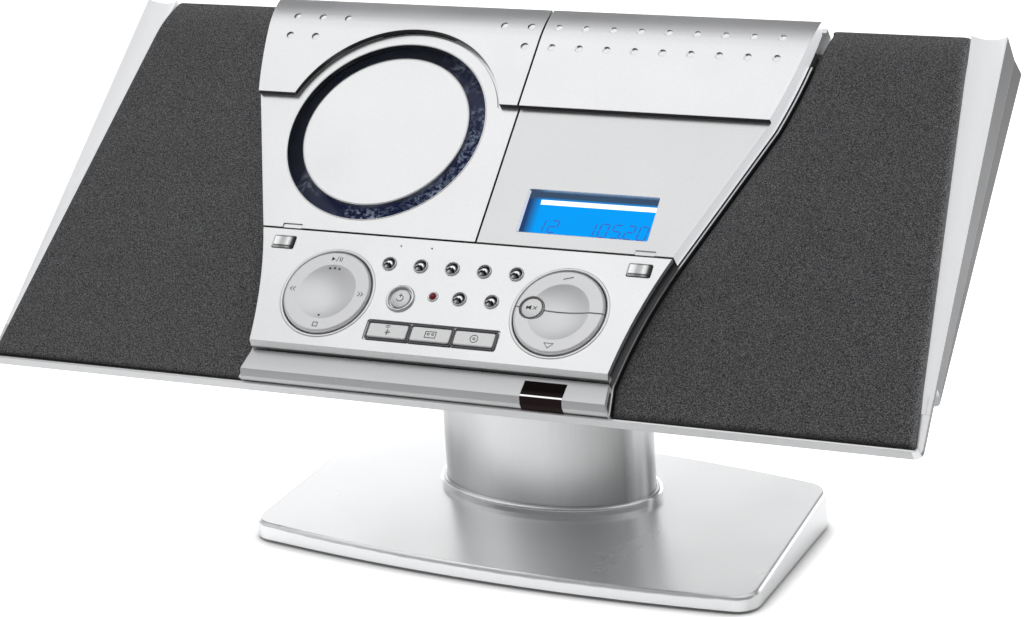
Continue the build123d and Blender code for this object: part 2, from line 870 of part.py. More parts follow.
def lid_plate(side, arms):
    """Flat plate with its skirts, up to the bend under the raised cover."""
    window = lid_windows[side]
    skirt_x = (-200, -60) if side == "left" else (60, 200)
    with BuildPart() as plate:
        extrude(centre_face(lid_skirt, -0.4, x_range=window, v_range=(lid_low, bend_start)), amount=-lid_skirt)
        inside = (window[0], window[1] + 10) if side == "left" else (window[0] - 10, window[1])
        extrude(
            centre_face(lid_skirt, -1.9, x_range=inside, v_range=(lid_low + 1.5, bend_start + 10)),
            amount=-lid_skirt - lid_thickness,
            mode=Mode.SUBTRACT,
        )
        add(arms)
        # Closing marks at the lower corner
        mark_x = -95.5 if side == "left" else 97.2
        extrude(box_face(-0.6, mark_x, lid_low + 1.2, 11, 2.4, 0.6), amount=5, mode=Mode.SUBTRACT)
    return plate.part


def cover_section(x, depth):
    """Section of the raised cover, filled down to a depth."""
    drop = cover_bend - sqrt(cover_bend**2 - (cover_top - bend_start) ** 2)
    middle = asin((cover_top - bend_start) / cover_bend) / 2
    centre_w = cover_face - cover_bend
    with BuildSketch(section.offset(x)) as face:
        with BuildLine():
            Line((cover_bottom + 0.3, 0), (cover_bottom + 0.3, cover_face))
            Line((cover_bottom + 0.3, cover_face), (bend_start, cover_face))
            ThreePointArc(
                (bend_start, cover_face),
                (bend_start + cover_bend * sin(middle), centre_w + cover_bend * cos(middle)),
                (cover_top, cover_face - drop),
            )
            Line((cover_top, cover_face - drop), (cover_top - 4, depth))
            Line((cover_top - 4, depth), (bend_start, depth))
            Line((bend_start, depth), (bend_start, 0))
            Line((bend_start, 0), (cover_bottom + 0.3, 0))
        make_face()
    return face.sketch


cover_hollows = {}
for side in ("left", "right"):
    window = lid_windows[side]
    inside = (window[0], window[1] - 2) if side == "left" else (window[0] + 2, window[1])
    with BuildPart() as cover_hollow:
        extrude(
            section_face(
                -160, (bend_start, -10), (bend_start, 0), (66, -0.6), (71, -2.0), (76, -4.4), (77.4, -10)
            ),
            amount=320,
        )
        extrude(centre_face(-20, -1.9, x_range=inside), amount=40, mode=Mode.INTERSECT)
    cover_hollows[side] = cover_hollow.part

dimple_pitch = 15.13
dimple_rows = {
    "left": (((-9, -8, -7, -1, 0), 67.6, 1.4), ((-9, -8, 0), 54.7, 2.2)),
    "right": ((range(1, 10), 67.6, 1.4), (range(1, 10), 54.7, 2.2)),
}
covers = {}
for side in ("left", "right"):
    with BuildPart() as cover:
        extrude(cover_section(-160, lid_skirt), amount=320)
        extrude(centre_face(-20, -0.4, x_range=lid_windows[side]), amount=40, mode=Mode.INTERSECT)
        add(cover_hollows[side], mode=Mode.SUBTRACT)
        if side == "left":
            extrude(disc_face(-20, (arch_x, arch_v), radius=arch_radius), amount=40, mode=Mode.SUBTRACT)
        for columns, row, depth in dimple_rows[side]:
            places = [(0.3 + dimple_pitch * k, row) for k in columns]
            extrude(disc_face(depth, *places, radius=2), amount=5, mode=Mode.SUBTRACT)
    covers[side] = cover.part

with BuildPart() as lid_left_plate:
    add(lid_plate("left", lid_arms(left_arms)))
    extrude(disc_face(-lid_thickness, (arch_x, arch_v), radius=arch_radius - 0.2), amount=lid_thickness)
    extrude(disc_face(-12, (ring_x, 0), radius=ring_outer), amount=20, mode=Mode.SUBTRACT)
    with BuildSketch(panel.offset(-0.8)):
        with Locations((arch_x, arch_v)):
            Circle(arch_radius - 0.2)
            Circle(arch_radius - 1.6, mode=Mode.SUBTRACT)
        with Locations((ring_x, cover_bottom - 60)):
            Rectangle(200, 120, mode=Mode.SUBTRACT)
    extrude(amount=5, mode=Mode.SUBTRACT)
save(lid_left_plate.part, "lid_left_plate")
save(covers["left"], "lid_left_cover")

with BuildPart() as lid_right_plate:
    add(lid_plate("right", lid_arms(right_arms)))
    extrude(
        box_face(-12, display_x, display_v, display_width, display_height, 1.0), amount=20, mode=Mode.SUBTRACT
    )
save(lid_right_plate.part, "lid_right_plate")
save(covers["right"], "lid_right_cover")

with BuildPart() as ring_window:
    extrude(disc_face(-4, (ring_x, 0), radius=ring_outer + 3), amount=1.5)
    with BuildSketch(panel.offset(-2.5)):
        with Locations((ring_x, 0)):
            Circle(ring_outer - 0.1)
            Circle(ring_inner + 0.1, mode=Mode.SUBTRACT)
    extrude(amount=2.1)
save(ring_window.part, "ring_window")

with BuildPart() as ring_plate:
    extrude(disc_face(-2.5, (ring_x, 0), radius=ring_inner), amount=2.5)
    chamfer(ring_plate.edges().filter_by(GeomType.CIRCLE).sort_by(Axis(at(0, 0, 0), panel.z_dir))[-1], 0.8)
save(ring_plate.part, "ring_plate")

# Buttons and keys


def press_button(x, v, radius, top, crown, flange=0.9):
    """Round button with a flange under the panel and a stem down to its switch."""
    with BuildPart() as button:
        with BuildSketch(lathe(x, v)):
            with BuildLine():
                Polyline(
                    (0, top + crown),
                    (0, stem_end),
                    (1.2, stem_end),
                    (1.2, -3.6),
                    (radius + flange, -3.6),
                    (radius + flange, -2.8),
                    (radius, -2.8),
                    (radius, top),
                )
                dome(radius, top, top + crown)
            make_face()
        revolve(axis=turning_axis(x, v))
    return button.part


round_buttons = {
    "preset_down_button": (button_row_x[0], button_row_v),
    "preset_up_button": (button_row_x[1], button_row_v),
    "program_button": (button_row_x[2], button_row_v),
    "repeat_button": (button_row_x[3], button_row_v),
    "equalizer_button": (button_row_x[4], button_row_v),
    "sleep_button": (timer_row_x[0], timer_row_v),
    "timer_button": (timer_row_x[1], timer_row_v),
}
for name, (x, v) in round_buttons.items():
    save(press_button(x, v, button_radius, 0.6, 0.8), name)

save(press_button(power_x, power_v, power_radius, 0.3, 0.5), "power_button")
save(press_button(mute_x, mute_v, mute_radius, 0.9, 0.5, flange=-1.0), "mute_button")

key_names = ("band_key", "tape_key", "disc_key")
for name, (x, v) in zip(key_names, key_places):
    with BuildPart() as key:
        extrude(box_face(-2.8, x, v, key_width, key_height, 1), amount=3.2)
        fillet(key.faces().sort_by(turning_axis(x, v))[-1].edges(), 0.5)
        extrude(box_face(-3.6, x, v, key_width + 1.2, key_height + 1.6, 1), amount=0.8)
        extrude(disc_face(stem_end, (x, v), radius=1.5), amount=2.4)
    save(key.part, name)

for name, side in (("open_key_left", -1), ("open_key_right", 1)):
    with BuildPart() as key:
        extrude(box_face(-2.8, side * open_key_x, open_key_v, open_key_width, open_key_height, 0.8), amount=4.2)
        fillet(key.faces().sort_by(turning_axis(side * open_key_x, open_key_v))[-1].edges(), 1.3)
        extrude(box_face(-3.6, side * open_key_x, open_key_v, open_key_width, open_key_height + 1.6, 1), amount=0.8)
        extrude(disc_face(stem_end, (side * open_key_x, open_key_v), radius=1.5), amount=2.4)
    save(key.part, name)


def pad_profile(bottom):
    """Half profile of a dished disc with a broad rim."""
    Line((0, -0.7), (0, bottom))
    Line((0, bottom), (pad_radius, bottom))
    Line((pad_radius, bottom), (pad_radius, 0.2))
    ThreePointArc((pad_radius, 0.2), (pad_radius - 0.45, 1.2), (pad_radius - 1.5, 1.6))
    Line((pad_radius - 1.5, 1.6), (15.6, 1.5))
    dome(15.6, 1.5, -0.7)


with BuildPart() as transport_pad:
    with BuildSketch(lathe(-pad_half, pad_v)):
        with BuildLine():
            pad_profile(-2.6)
        make_face()
    revolve(axis=turning_axis(-pad_half, pad_v))
    # Lugs and pins of the inner pivot, and the four pressing studs
    for side in (-1, 1):
        extrude(box_face(pivot_w - 1.5, -pad_half, pad_v + side * 14, 6, 3), amount=-2.6 - pivot_w + 1.5)
    with BuildSketch(Plane(origin=at(-pad_half, pad_v - 20.4, pivot_w), x_dir=(1, 0, 0), z_dir=section.x_dir)):
        Circle(pivot_radius)
    extrude(amount=5.5)
    with BuildSketch(Plane(origin=at(-pad_half, pad_v + 14.9, pivot_w), x_dir=(1, 0, 0), z_dir=section.x_dir)):
        Circle(pivot_radius)
    extrude(amount=5.5)
    studs = [(-pad_half + 9 * cos(radians(a)), pad_v + 9 * sin(radians(a))) for a in (0, 90, 180, 270)]
    extrude(disc_face(-6.6, *studs, radius=1.5), amount=4)
save(transport_pad.part, "transport_pad")

with BuildPart() as pad_carrier:
    with BuildSketch(panel.offset(-6.8)):
        with Locations((-pad_half, pad_v)):
            Circle(21)
            Circle(17, mode=Mode.SUBTRACT)
    extrude(amount=2.8)
    for side in (-1, 1):
        start = -pad_half - 26.2 if side < 0 else -pad_half + 20.5
        with BuildSketch(Plane(origin=at(start, pad_v, pivot_w), x_dir=section.x_dir, z_dir=(1, 0, 0))):
            Circle(pivot_radius)
        extrude(amount=5.7)
    with BuildSketch(Plane(origin=at(-pad_half, pad_v - 25, pivot_w), x_dir=(1, 0, 0), z_dir=section.x_dir)):
        Circle(pivot_radius + pin_clearance)
    extrude(amount=50, mode=Mode.SUBTRACT)
save(pad_carrier.part, "pad_carrier")

for name, side in (("volume_up_key", 1), ("volume_down_key", -1)):
    with BuildPart() as half:
        with BuildSketch(lathe(pad_half, pad_v)):
            with BuildLine():
                pad_profile(-2.6)
            make_face()
        revolve(axis=turning_axis(pad_half, pad_v))
        extrude(disc_face(stem_end, (pad_half + 4, pad_v + side * 11.5), radius=2), amount=4)
        extrude(
            box_face(-10, pad_half, volume_split_v + side * (30 + 0.3), 80, 60), amount=20, mode=Mode.INTERSECT
        )
        extrude(disc_face(-5, (mute_x, mute_v), radius=mute_radius + 0.35), amount=10, mode=Mode.SUBTRACT)
    save(half.part, name)

with BuildPart() as key_board:
    extrude(centre_face(-9.6, -3.0, v_range=(-126, -66)), amount=1.6)
    extrude(disc_face(board_face, *ring_places, radius=2.4), amount=switch_face - board_face)
    switch_places = [(power_x, power_v), (mute_x, mute_v)] + key_places
    switch_places += [(side * open_key_x, open_key_v) for side in (-1, 1)]
    switch_places += [(pad_half + 4, pad_v + side * 11.5) for side in (-1, 1)] + studs
    extrude(disc_face(board_face, *switch_places, radius=2.4), amount=switch_face - board_face)
    extrude(disc_face(board_face, (led_x, led_v), radius=led_radius), amount=0.4 - board_face)
save(key_board.part, "key_board")

# Disc drive

rod_x = (ring_x - rod_offset, ring_x + rod_offset)
rod_low = -68.5
rod_high = -14.0
with BuildPart() as cd_chassis:
    extrude(box_face(chassis_back - 2, ring_x, -26, 56, 90, 4), amount=2)
    for x in rod_x:
        for v in (-67.5, -15):
            extrude(box_face(-27.5, x, v, 8, 3), amount=7)
    extrude(disc_face(-30, (ring_x, 0), radius=3.6), amount=20, mode=Mode.SUBTRACT)
    extrude(box_face(-30, ring_x, -40.2, 14, 40.6), amount=20, mode=Mode.SUBTRACT)
    for x, radius in zip(rod_x, (1.55, 1.5)):
        with BuildSketch(Plane(origin=at(x, -80, rod_w), x_dir=(1, 0, 0), z_dir=section.x_dir)):
            Circle(radius)
        extrude(amount=80, mode=Mode.SUBTRACT)
save(cd_chassis.part, "cd_chassis")

for name, x in (("lead_screw", rod_x[0]), ("guide_rod", rod_x[1])):
    with BuildPart() as rod:
        with BuildSketch(Plane(origin=at(x, rod_low, rod_w), x_dir=(1, 0, 0), z_dir=section.x_dir)):
            Circle(1.5)
        extrude(amount=rod_high - rod_low)
    save(rod.part, name)

with BuildPart() as laser_sled:
    extrude(box_face(-26.6, ring_x, -sled_start, 43, 11), amount=5)
    extrude(box_face(-21.6, ring_x, -sled_start, 12, 7), amount=6)
    extrude(disc_face(-15.6, (ring_x, -sled_start), radius=2.6), amount=1)
    for x, radius in zip(rod_x, (1.85, 1.55)):
        with BuildSketch(Plane(origin=at(x, -80, rod_w), x_dir=(1, 0, 0), z_dir=section.x_dir)):
            Circle(radius)
        extrude(amount=80, mode=Mode.SUBTRACT)
save(laser_sled.part, "laser_sled")

with BuildPart() as spindle_motor:
    extrude(disc_face(-31, (ring_x, 0), radius=12), amount=10)
    extrude(disc_face(-21, (ring_x, 0), radius=3.5), amount=2.8)
    extrude(disc_face(-30, (ring_x, 0), radius=1.05), amount=20, mode=Mode.SUBTRACT)
save(spindle_motor.part, "spindle_motor")

with BuildPart() as turntable:
    with BuildSketch(lathe(ring_x, 0)):
        with BuildLine():
            Polyline(
                (0, -8.6),
                (0, -29.5),
                (1, -29.5),
                (1, -17.6),
                (3, -17.6),
                (3, -13.2),
                (14, -13.2),
                (14, -11.9),
                (7.4, -11.9),
                (7.4, -10),
                (6, -8.6),
                close=True,
            )
        make_face()
    revolve(axis=turning_axis(ring_x, 0))
save(turntable.part, "turntable")

# Cassette deck

reel_x = (cassette_x - reel_spacing / 2, cassette_x + reel_spacing / 2)
with BuildPart() as cassette_deck:
    extrude(box_face(-18.5, cassette_x, cassette_v, cassette_width + 4, cassette_height + 4), amount=2)
    extrude(disc_face(-30, *[(x, reel_v) for x in reel_x], radius=1.05), amount=20, mode=Mode.SUBTRACT)
    extrude(disc_face(-30, (flywheel_x, flywheel_v), radius=1.25), amount=20, mode=Mode.SUBTRACT)
    extrude(box_face(-30, cassette_x, -16.5, 20, 9), amount=20, mode=Mode.SUBTRACT)
save(cassette_deck.part, "cassette_deck")

for name, x in zip(("reel_spindle_left", "reel_spindle_right"), reel_x):
    with BuildPart() as reel:
        with BuildSketch(lathe(x, reel_v)):
            with BuildLine():
                Polyline(
                    (0, -7.6),
                    (0, -21),
                    (3, -21),
                    (3, -19),
                    (1, -19),
                    (1, -15.9),
                    (8, -15.9),
                    (8, -14.9),
                    (3.2, -14.9),
                    (3.2, -8.6),
                    (1.8, -7.6),
                    close=True,
                )
            make_face()
        revolve(axis=turning_axis(x, reel_v))
        with BuildSketch(panel.offset(-14.9)):
            with Locations((x, reel_v)):
                with PolarLocations(3.4, 3):
                    Rectangle(2.4, 1)
        extrude(amount=5)
    save(reel.part, name)

with BuildPart() as capstan_flywheel:
    with BuildSketch(lathe(flywheel_x, flywheel_v)):
        with BuildLine():
            Polyline(
                (0, -8),
                (0, -28),
                (2, -28),
                (2, -27),
                (17, -27),
                (17, -24),
                (3, -24),
                (3, -19),
                (1.2, -19),
                (1.2, -8),
                close=True,
            )
        make_face()
    revolve(axis=turning_axis(flywheel_x, flywheel_v))
save(capstan_flywheel.part, "capstan_flywheel")

with BuildPart() as head_plate:
    extrude(box_face(-20.6, cassette_x - 14, -18.5, 56, 6), amount=1.7)
    extrude(box_face(-18.9, cassette_x, -18.5, 18, 4), amount=9)
save(head_plate.part, "head_plate")

# Other pieces inside

for name, side in (("speaker_left", -1), ("speaker_right", 1)):
    with BuildPart() as speaker:
        with BuildSketch(lathe(side * speaker_x, speaker_v)):
            with BuildLine():
                Polyline(
                    (0, -21),
                    (8, -23),
                    (26, -18.6),
                    (29, tray_back),
                    (36, tray_back),
                    (36, -19.5),
                    (30, -20.5),
                    (19, -29),
                    (20, -29.4),
                    (20, -36.5),
                    (0, -36.5),
                    close=True,
                )
            make_face()
        revolve(axis=turning_axis(side * speaker_x, speaker_v))
    save(speaker.part, name)

with BuildPart() as main_board:
    extrude(box_face(-22, 0, -92, 180, 34), amount=1.6)
    for x in (-60, -20, 30):
        extrude(box_face(-20.4, x, -92, 22, 14), amount=2)
save(main_board.part, "main_board")

with BuildPart() as transformer:
    extrude(box_face(transformer_back, transformer_x, transformer_v, 34, 34), amount=16)
    extrude(box_face(transformer_back + 4, transformer_x, transformer_v, 26, 42, 2), amount=8)
save(transformer.part, "transformer")

with BuildPart() as power_inlet:
    with BuildSketch(rear_face):
        with Locations((inlet_x, inlet_y)):
            Rectangle(27, 17)
    extrude(amount=-9)
    with BuildSketch(rear_face):
        with Locations((inlet_x, inlet_y)):
            SlotOverall(20, 9.5)
    extrude(amount=-7, mode=Mode.SUBTRACT)
    with BuildSketch(rear_face.offset(-9)):
        with Locations((inlet_x, inlet_y)):
            with GridLocations(8.6, 1, 2, 1):
                Circle(1.15)
    extrude(amount=7)
save(power_inlet.part, "power_inlet")

with BuildPart() as screws:
    extrude(disc_face(head_seat - 2.2, *boss_places, radius=2.9), amount=2.2)
    extrude(disc_face(head_seat, *boss_places, radius=1.4), amount=8)
save(screws.part, "screws")
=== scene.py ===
"""Finishes and small pieces for the desk radio, laid out as an add-on.

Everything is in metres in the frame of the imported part. Small pieces are drawn flat round the world's
origin, with local Z out of the face, and are then placed on the sloping panel. Their sizes and places are
written in millimetres.
"""

import json
from math import cos, pi, radians, sin

import bpy
from bpy.props import FloatProperty, FloatVectorProperty, PointerProperty
from mathutils import Matrix, Vector


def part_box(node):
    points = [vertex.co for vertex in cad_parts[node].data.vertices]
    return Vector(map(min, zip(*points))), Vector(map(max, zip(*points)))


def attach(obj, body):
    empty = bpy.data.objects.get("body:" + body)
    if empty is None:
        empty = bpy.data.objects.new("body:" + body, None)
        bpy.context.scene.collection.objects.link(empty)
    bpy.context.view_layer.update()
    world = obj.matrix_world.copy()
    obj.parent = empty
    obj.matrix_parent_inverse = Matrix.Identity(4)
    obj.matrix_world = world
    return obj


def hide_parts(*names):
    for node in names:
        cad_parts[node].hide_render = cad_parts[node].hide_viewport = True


bl_info = {
    "name": "Desk radio finishes",
    "version": (1, 0, 0),
    "blender": (4, 5, 0),
    "location": "3D View > Sidebar > Radio",
    "description": "Paints the packed desk radio and adds its cloth, trim, marks, disc and stage",
    "category": "Object",
}

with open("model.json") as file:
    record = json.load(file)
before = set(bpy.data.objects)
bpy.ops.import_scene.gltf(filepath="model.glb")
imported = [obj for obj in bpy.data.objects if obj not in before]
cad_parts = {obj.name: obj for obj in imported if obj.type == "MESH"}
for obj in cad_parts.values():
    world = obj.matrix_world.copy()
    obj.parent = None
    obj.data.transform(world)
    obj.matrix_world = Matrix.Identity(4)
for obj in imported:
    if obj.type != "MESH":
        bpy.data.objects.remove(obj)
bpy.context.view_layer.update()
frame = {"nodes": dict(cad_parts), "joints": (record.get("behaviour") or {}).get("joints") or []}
nodes = frame["nodes"]
MM = 0.001

# Scale of the finest flake in the paint
FINE_FLAKE = 5000.0

# Gap under the printed signs, and depth of the turntable's joint below the panel, in metres
INK_GAP = 0.00004
TURNTABLE_DEPTH = 0.012

# Places on the panel in millimetres, x to the right of its middle and v up the slope from the disc's centre
DISC_X = -62.5
PAD_X = 62.9
PAD_V = -97.9
SMALL_ROW_V = -78.3
LOWER_ROW_V = -94.9
SMALL_ROW_X = (-34.7, -17.4, -0.1, 17.2, 34.5)
LOWER_ROW_X = (8.8, 26.1)
STANDBY_X = -5.5
POWER = (-22.4, -97.6)
MUTE = (48.4, -96.8)
KEY_PITCH = 23.4
KEY_V = -116.3
DISPLAY_LEFT_X = 27.0
DISPLAY_TOP_V = -28.8
WINDOW_BEND_V = -142.0
STRIP_LOW_V = -148.0

# Where the hollow rails beside the grilles begin, in metres from the middle and above the floor
RAIL_X = 0.22
RAIL_Z = 0.134

# Camera of the photograph, fitted to the radio's edges: place in metres, and yaw, pitch and roll in degrees
CAMERA_PLACE = (0.603, -1.27543, 0.6032)
CAMERA_ANGLES = (25.14, 18.39, -3.36)
FOCAL_PIXELS = 2895.2
IMAGE_WIDTH = 1024
SENSOR_WIDTH = 36


def joint(name):
    """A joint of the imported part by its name."""
    return next(j for j in frame["joints"] if j["name"] == name)


# Frame of the sloping panel, read from the turntable's spin axis and the lead screw's axis
spin = joint("turntable_spin")
panel_out = Vector(spin["axis"]).normalized()
panel_right = Vector((1, 0, 0))
panel_up = Vector(joint("lead_screw_turn")["axis"]).normalized()
panel_origin = Vector(spin["pos_m"]) - panel_right * DISC_X * MM + panel_out * TURNTABLE_DEPTH


def panel_matrix(x, v, w, turn=0.0):
    """Matrix that lays a piece on the panel at x, v and w in millimetres, turned about the panel's normal."""
    across = panel_right * cos(turn) + panel_up * sin(turn)
    along = -panel_right * sin(turn) + panel_up * cos(turn)
    place = panel_origin + panel_right * x * MM + panel_up * v * MM + panel_out * w * MM
    return Matrix.Translation(place) @ Matrix((across, along, panel_out)).transposed().to_4x4()


def face_height(name, x, v):
    """Height in millimetres of a CAD node over the panel's plane at x and v."""
    well_above = 20
    start = panel_matrix(x, v, well_above).translation
    found, place = nodes[name].ray_cast(start, -panel_out)[:2]
    if not found:
        raise RuntimeError(f"{name} has no face at {x}, {v}")
    return (place - panel_origin).dot(panel_out) / MM


# Modelling


def deselect():
    """Leave nothing selected."""
    if bpy.context.object and bpy.context.object.mode != "OBJECT":
        bpy.ops.object.mode_set(mode="OBJECT")
    bpy.ops.object.select_all(action="DESELECT")


def only(piece):
    """Select one piece and make it the active one."""
    deselect()
    piece.select_set(True)
    bpy.context.view_layer.objects.active = piece


def settle(piece, matrix):
    """Place a finished piece and put its place in its mesh."""
    only(piece)
    piece.matrix_world = matrix
    bpy.ops.object.transform_apply(location=True, rotation=True, scale=True)
    return piece


def smooth(piece, angle=35.0):
    """Shade a piece smooth, apart from edges sharper than the angle in degrees."""
    only(piece)
    bpy.ops.object.shade_smooth_by_angle(angle=radians(angle))
    return piece


def finish_piece(piece, name, material, body):
    """Name a piece, paint it and let it ride on a body."""
    piece.name = name
    piece.data.name = name
    piece.data.materials.clear()
    piece.data.materials.append(material)
    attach(piece, body)
    return piece


def single_point(x, z=0.0):
    """Enter edit mode on a new piece that is one point, at x and z in millimetres."""
    deselect()
    bpy.ops.mesh.primitive_plane_add(size=MM, location=(0, 0, 0))
    bpy.ops.object.mode_set(mode="EDIT")
    bpy.ops.mesh.select_mode(type="VERT")
    bpy.ops.mesh.select_all(action="SELECT")
    bpy.ops.mesh.merge(type="CENTER")
    bpy.ops.transform.translate(value=(x * MM, 0, z * MM))
    return bpy.context.object


def spin_all(steps, angle):
    """Spin the line being edited round local Z and close its seams."""
    bpy.ops.mesh.select_all(action="SELECT")
    bpy.ops.mesh.spin(steps=steps, angle=angle, center=(0, 0, 0), axis=(0, 0, 1))
    bpy.ops.mesh.select_all(action="SELECT")
    bpy.ops.mesh.remove_doubles(threshold=2e-6)


def spun(profile, matrix, steps=72):
    """Draw a half profile of (radius, height) in millimetres and spin it round local Z."""
    piece = single_point(*profile[0])
    for before, after in zip(profile, profile[1:]):
        step = ((after[0] - before[0]) * MM, 0, (after[1] - before[1]) * MM)
        bpy.ops.mesh.extrude_vertices_move(TRANSFORM_OT_translate={"value": step})
    spin_all(steps, 2 * pi)
    bpy.ops.mesh.normals_make_consistent(inside=False)
    bpy.ops.object.mode_set(mode="OBJECT")
    return smooth(settle(piece, matrix))


def select_edges(piece, wanted):
    """Enter edit mode with only the edges whose end points are wanted."""
    only(piece)
    bpy.ops.object.mode_set(mode="EDIT")
    bpy.ops.mesh.select_mode(type="EDGE")
    bpy.ops.mesh.select_all(action="DESELECT")
    bpy.ops.object.mode_set(mode="OBJECT")
    points = piece.data.vertices
    for edge in piece.data.edges:
        edge.select = wanted(*(points[index].co for index in edge.vertices))
    bpy.ops.object.mode_set(mode="EDIT")


def rounded_ring(inner, outer, low, high, matrix, steps=72):
    """Ring with a rounded crest, closed underneath."""
    middle = (inner + outer) / 2
    half = (outer - inner) / 2
    rise = high - low
    crest = [(middle + half * cos(radians(a)), low + rise * sin(radians(a))) for a in range(0, 181, 20)]
    return spun(crest + [crest[0]], matrix, steps)


def bar(width, height, thick, matrix, soften=0.0):
    """Small flat bar, standing on its lower face, with softened edges."""
    deselect()
    bpy.ops.mesh.primitive_cube_add(size=1, location=(0, 0, 0.5 * thick * MM))
    piece = bpy.context.object
    piece.scale = (width * MM, height * MM, thick * MM)
    bpy.ops.object.transform_apply(location=True, rotation=True, scale=True)
    if soften:
        bpy.ops.object.mode_set(mode="EDIT")
        bpy.ops.mesh.select_all(action="SELECT")
        bpy.ops.mesh.bevel(offset=soften * MM, segments=2, affect="EDGES")
        bpy.ops.object.mode_set(mode="OBJECT")
    return smooth(settle(piece, matrix))


def pointed_bar(length, width, thick):
    """Segment of a numeral: a flat bar with pointed ends, lying along X round the origin."""
    piece = bar(length, width, thick, Matrix())
    select_edges(piece, lambda start, end: abs(start.z - end.z) > 0.5 * thick * MM)
    bpy.ops.mesh.bevel(offset=width * 0.49 * MM, segments=1, affect="EDGES")
    bpy.ops.object.mode_set(mode="OBJECT")
    return piece


def copy_piece(piece, matrix):
    """Copy with its own mesh, placed by a matrix."""
    double = piece.copy()
    double.data = piece.data.copy()
    bpy.context.scene.collection.objects.link(double)
    return settle(double, matrix)


def join(pieces):
    """Join several small pieces into one."""
    deselect()
    for piece in pieces:
        piece.select_set(True)
    bpy.context.view_layer.objects.active = pieces[0]
    bpy.ops.object.join()
    return pieces[0]


def stroke(start, end, width):
    """Flat line between two points in millimetres, for a sign."""
    start, end = Vector(start), Vector(end)
    along = end - start
    deselect()
    bpy.ops.mesh.primitive_grid_add(x_subdivisions=8, y_subdivisions=1, size=MM, location=(0, 0, 0))
    piece = bpy.context.object
    middle = (start + end) / 2 * MM
    turned = Matrix.Rotation(-along.angle_signed(Vector((1, 0))), 4, "Z") if along.length else Matrix()
    sized = Matrix.Diagonal((along.length + width, width, 1, 1))
    return settle(piece, Matrix.Translation((middle.x, middle.y, 0)) @ turned.inverted() @ sized)


def closed_line(points, width):
    """Flat closed line through corner points."""
    return [stroke(start, end, width) for start, end in zip(points, points[1:] + points[:1])]


def flat_plate(corners, radius, middle=(0, 0), turn=0.0):
    """Flat triangle or many-sided plate of a sign."""
    deselect()
    bpy.ops.mesh.primitive_circle_add(vertices=corners, radius=radius * MM, fill_type="TRIFAN")
    piece = bpy.context.object
    bpy.ops.object.mode_set(mode="EDIT")
    bpy.ops.mesh.select_all(action="SELECT")
    bpy.ops.mesh.subdivide(number_cuts=1)
    bpy.ops.object.mode_set(mode="OBJECT")
    moved = Matrix.Translation((middle[0] * MM, middle[1] * MM, 0))
    return settle(piece, moved @ Matrix.Rotation(turn, 4, "Z"))


def flat_arc(radius, width, first, last, middle=(0, 0)):
    """Flat arc of a sign, between two angles in degrees."""
    piece = single_point(radius - width / 2)
    bpy.ops.mesh.extrude_vertices_move(TRANSFORM_OT_translate={"value": (width * MM, 0, 0)})
    spin_all(max(8, int(abs(last - first) / 12)), radians(last - first))
    bpy.ops.object.mode_set(mode="OBJECT")
    turned = Matrix.Rotation(radians(first), 4, "Z")
    return settle(piece, Matrix.Translation((middle[0] * MM, middle[1] * MM, 0)) @ turned)


def drape(pieces, name, target, x, v, material, body):
    """Lay a flat sign on the face of a CAD node and give it a little thickness."""
    piece = join(pieces)
    only(piece)
    bpy.ops.object.mode_set(mode="EDIT")
    bpy.ops.mesh.select_all(action="SELECT")
    bpy.ops.mesh.normals_make_consistent(inside=False)
    bpy.ops.object.mode_set(mode="OBJECT")
    just_above = 4.0
    piece.matrix_world = panel_matrix(x, v, just_above)
    lay = piece.modifiers.new("lay on the face", "SHRINKWRAP")
    lay.target = nodes[target]
    lay.wrap_method = "PROJECT"
    lay.use_project_z = True
    lay.use_negative_direction = True
    lay.use_positive_direction = False
    lay.offset = INK_GAP
    print_thickness = piece.modifiers.new("thickness", "SOLIDIFY")
    print_thickness.thickness = bpy.context.scene.radio_sizes.mark_height
    print_thickness.offset = 0
    for modifier in list(piece.modifiers):
        bpy.ops.object.modifier_apply(modifier=modifier.name)
    bpy.ops.object.transform_apply(location=True, rotation=True, scale=True)
    return finish_piece(piece, name, material, body)


def rounded_frame(width, height, rim, thick, corner, matrix):
    """Rounded rectangular frame standing on the panel, with a softened crest."""
    deselect()
    bpy.ops.mesh.primitive_plane_add(size=1, location=(0, 0, 0))
    piece = bpy.context.object
    piece.scale = (width * MM, height * MM, 1)
    bpy.ops.object.transform_apply(location=True, rotation=True, scale=True)
    bpy.ops.object.mode_set(mode="EDIT")
    bpy.ops.mesh.select_all(action="SELECT")
    bpy.ops.mesh.bevel(offset=corner * MM, segments=5, affect="VERTICES")
    bpy.ops.mesh.select_all(action="SELECT")
    bpy.ops.mesh.inset(thickness=rim * MM)
    bpy.ops.mesh.delete(type="ONLY_FACE")
    bpy.ops.mesh.select_all(action="SELECT")
    bpy.ops.mesh.extrude_region_move(TRANSFORM_OT_translate={"value": (0, 0, thick * MM)})
    bpy.ops.mesh.select_all(action="SELECT")
    bpy.ops.mesh.normals_make_consistent(inside=False)
    bpy.ops.object.mode_set(mode="OBJECT")
    soften = piece.modifiers.new("soft edges", "BEVEL")
    soften.width = min(rim, thick) * 0.35 * MM
    soften.segments = 2
    soften.limit_method = "ANGLE"
    bpy.ops.object.modifier_apply(modifier=soften.name)
    return smooth(settle(piece, matrix))


# Material groups


def feed(tree, socket, item):
    """Link an output to an input, or set the input to a plain value."""
    if isinstance(item, bpy.types.NodeSocket):
        tree.links.new(item, socket)
    else:
        socket.default_value = item


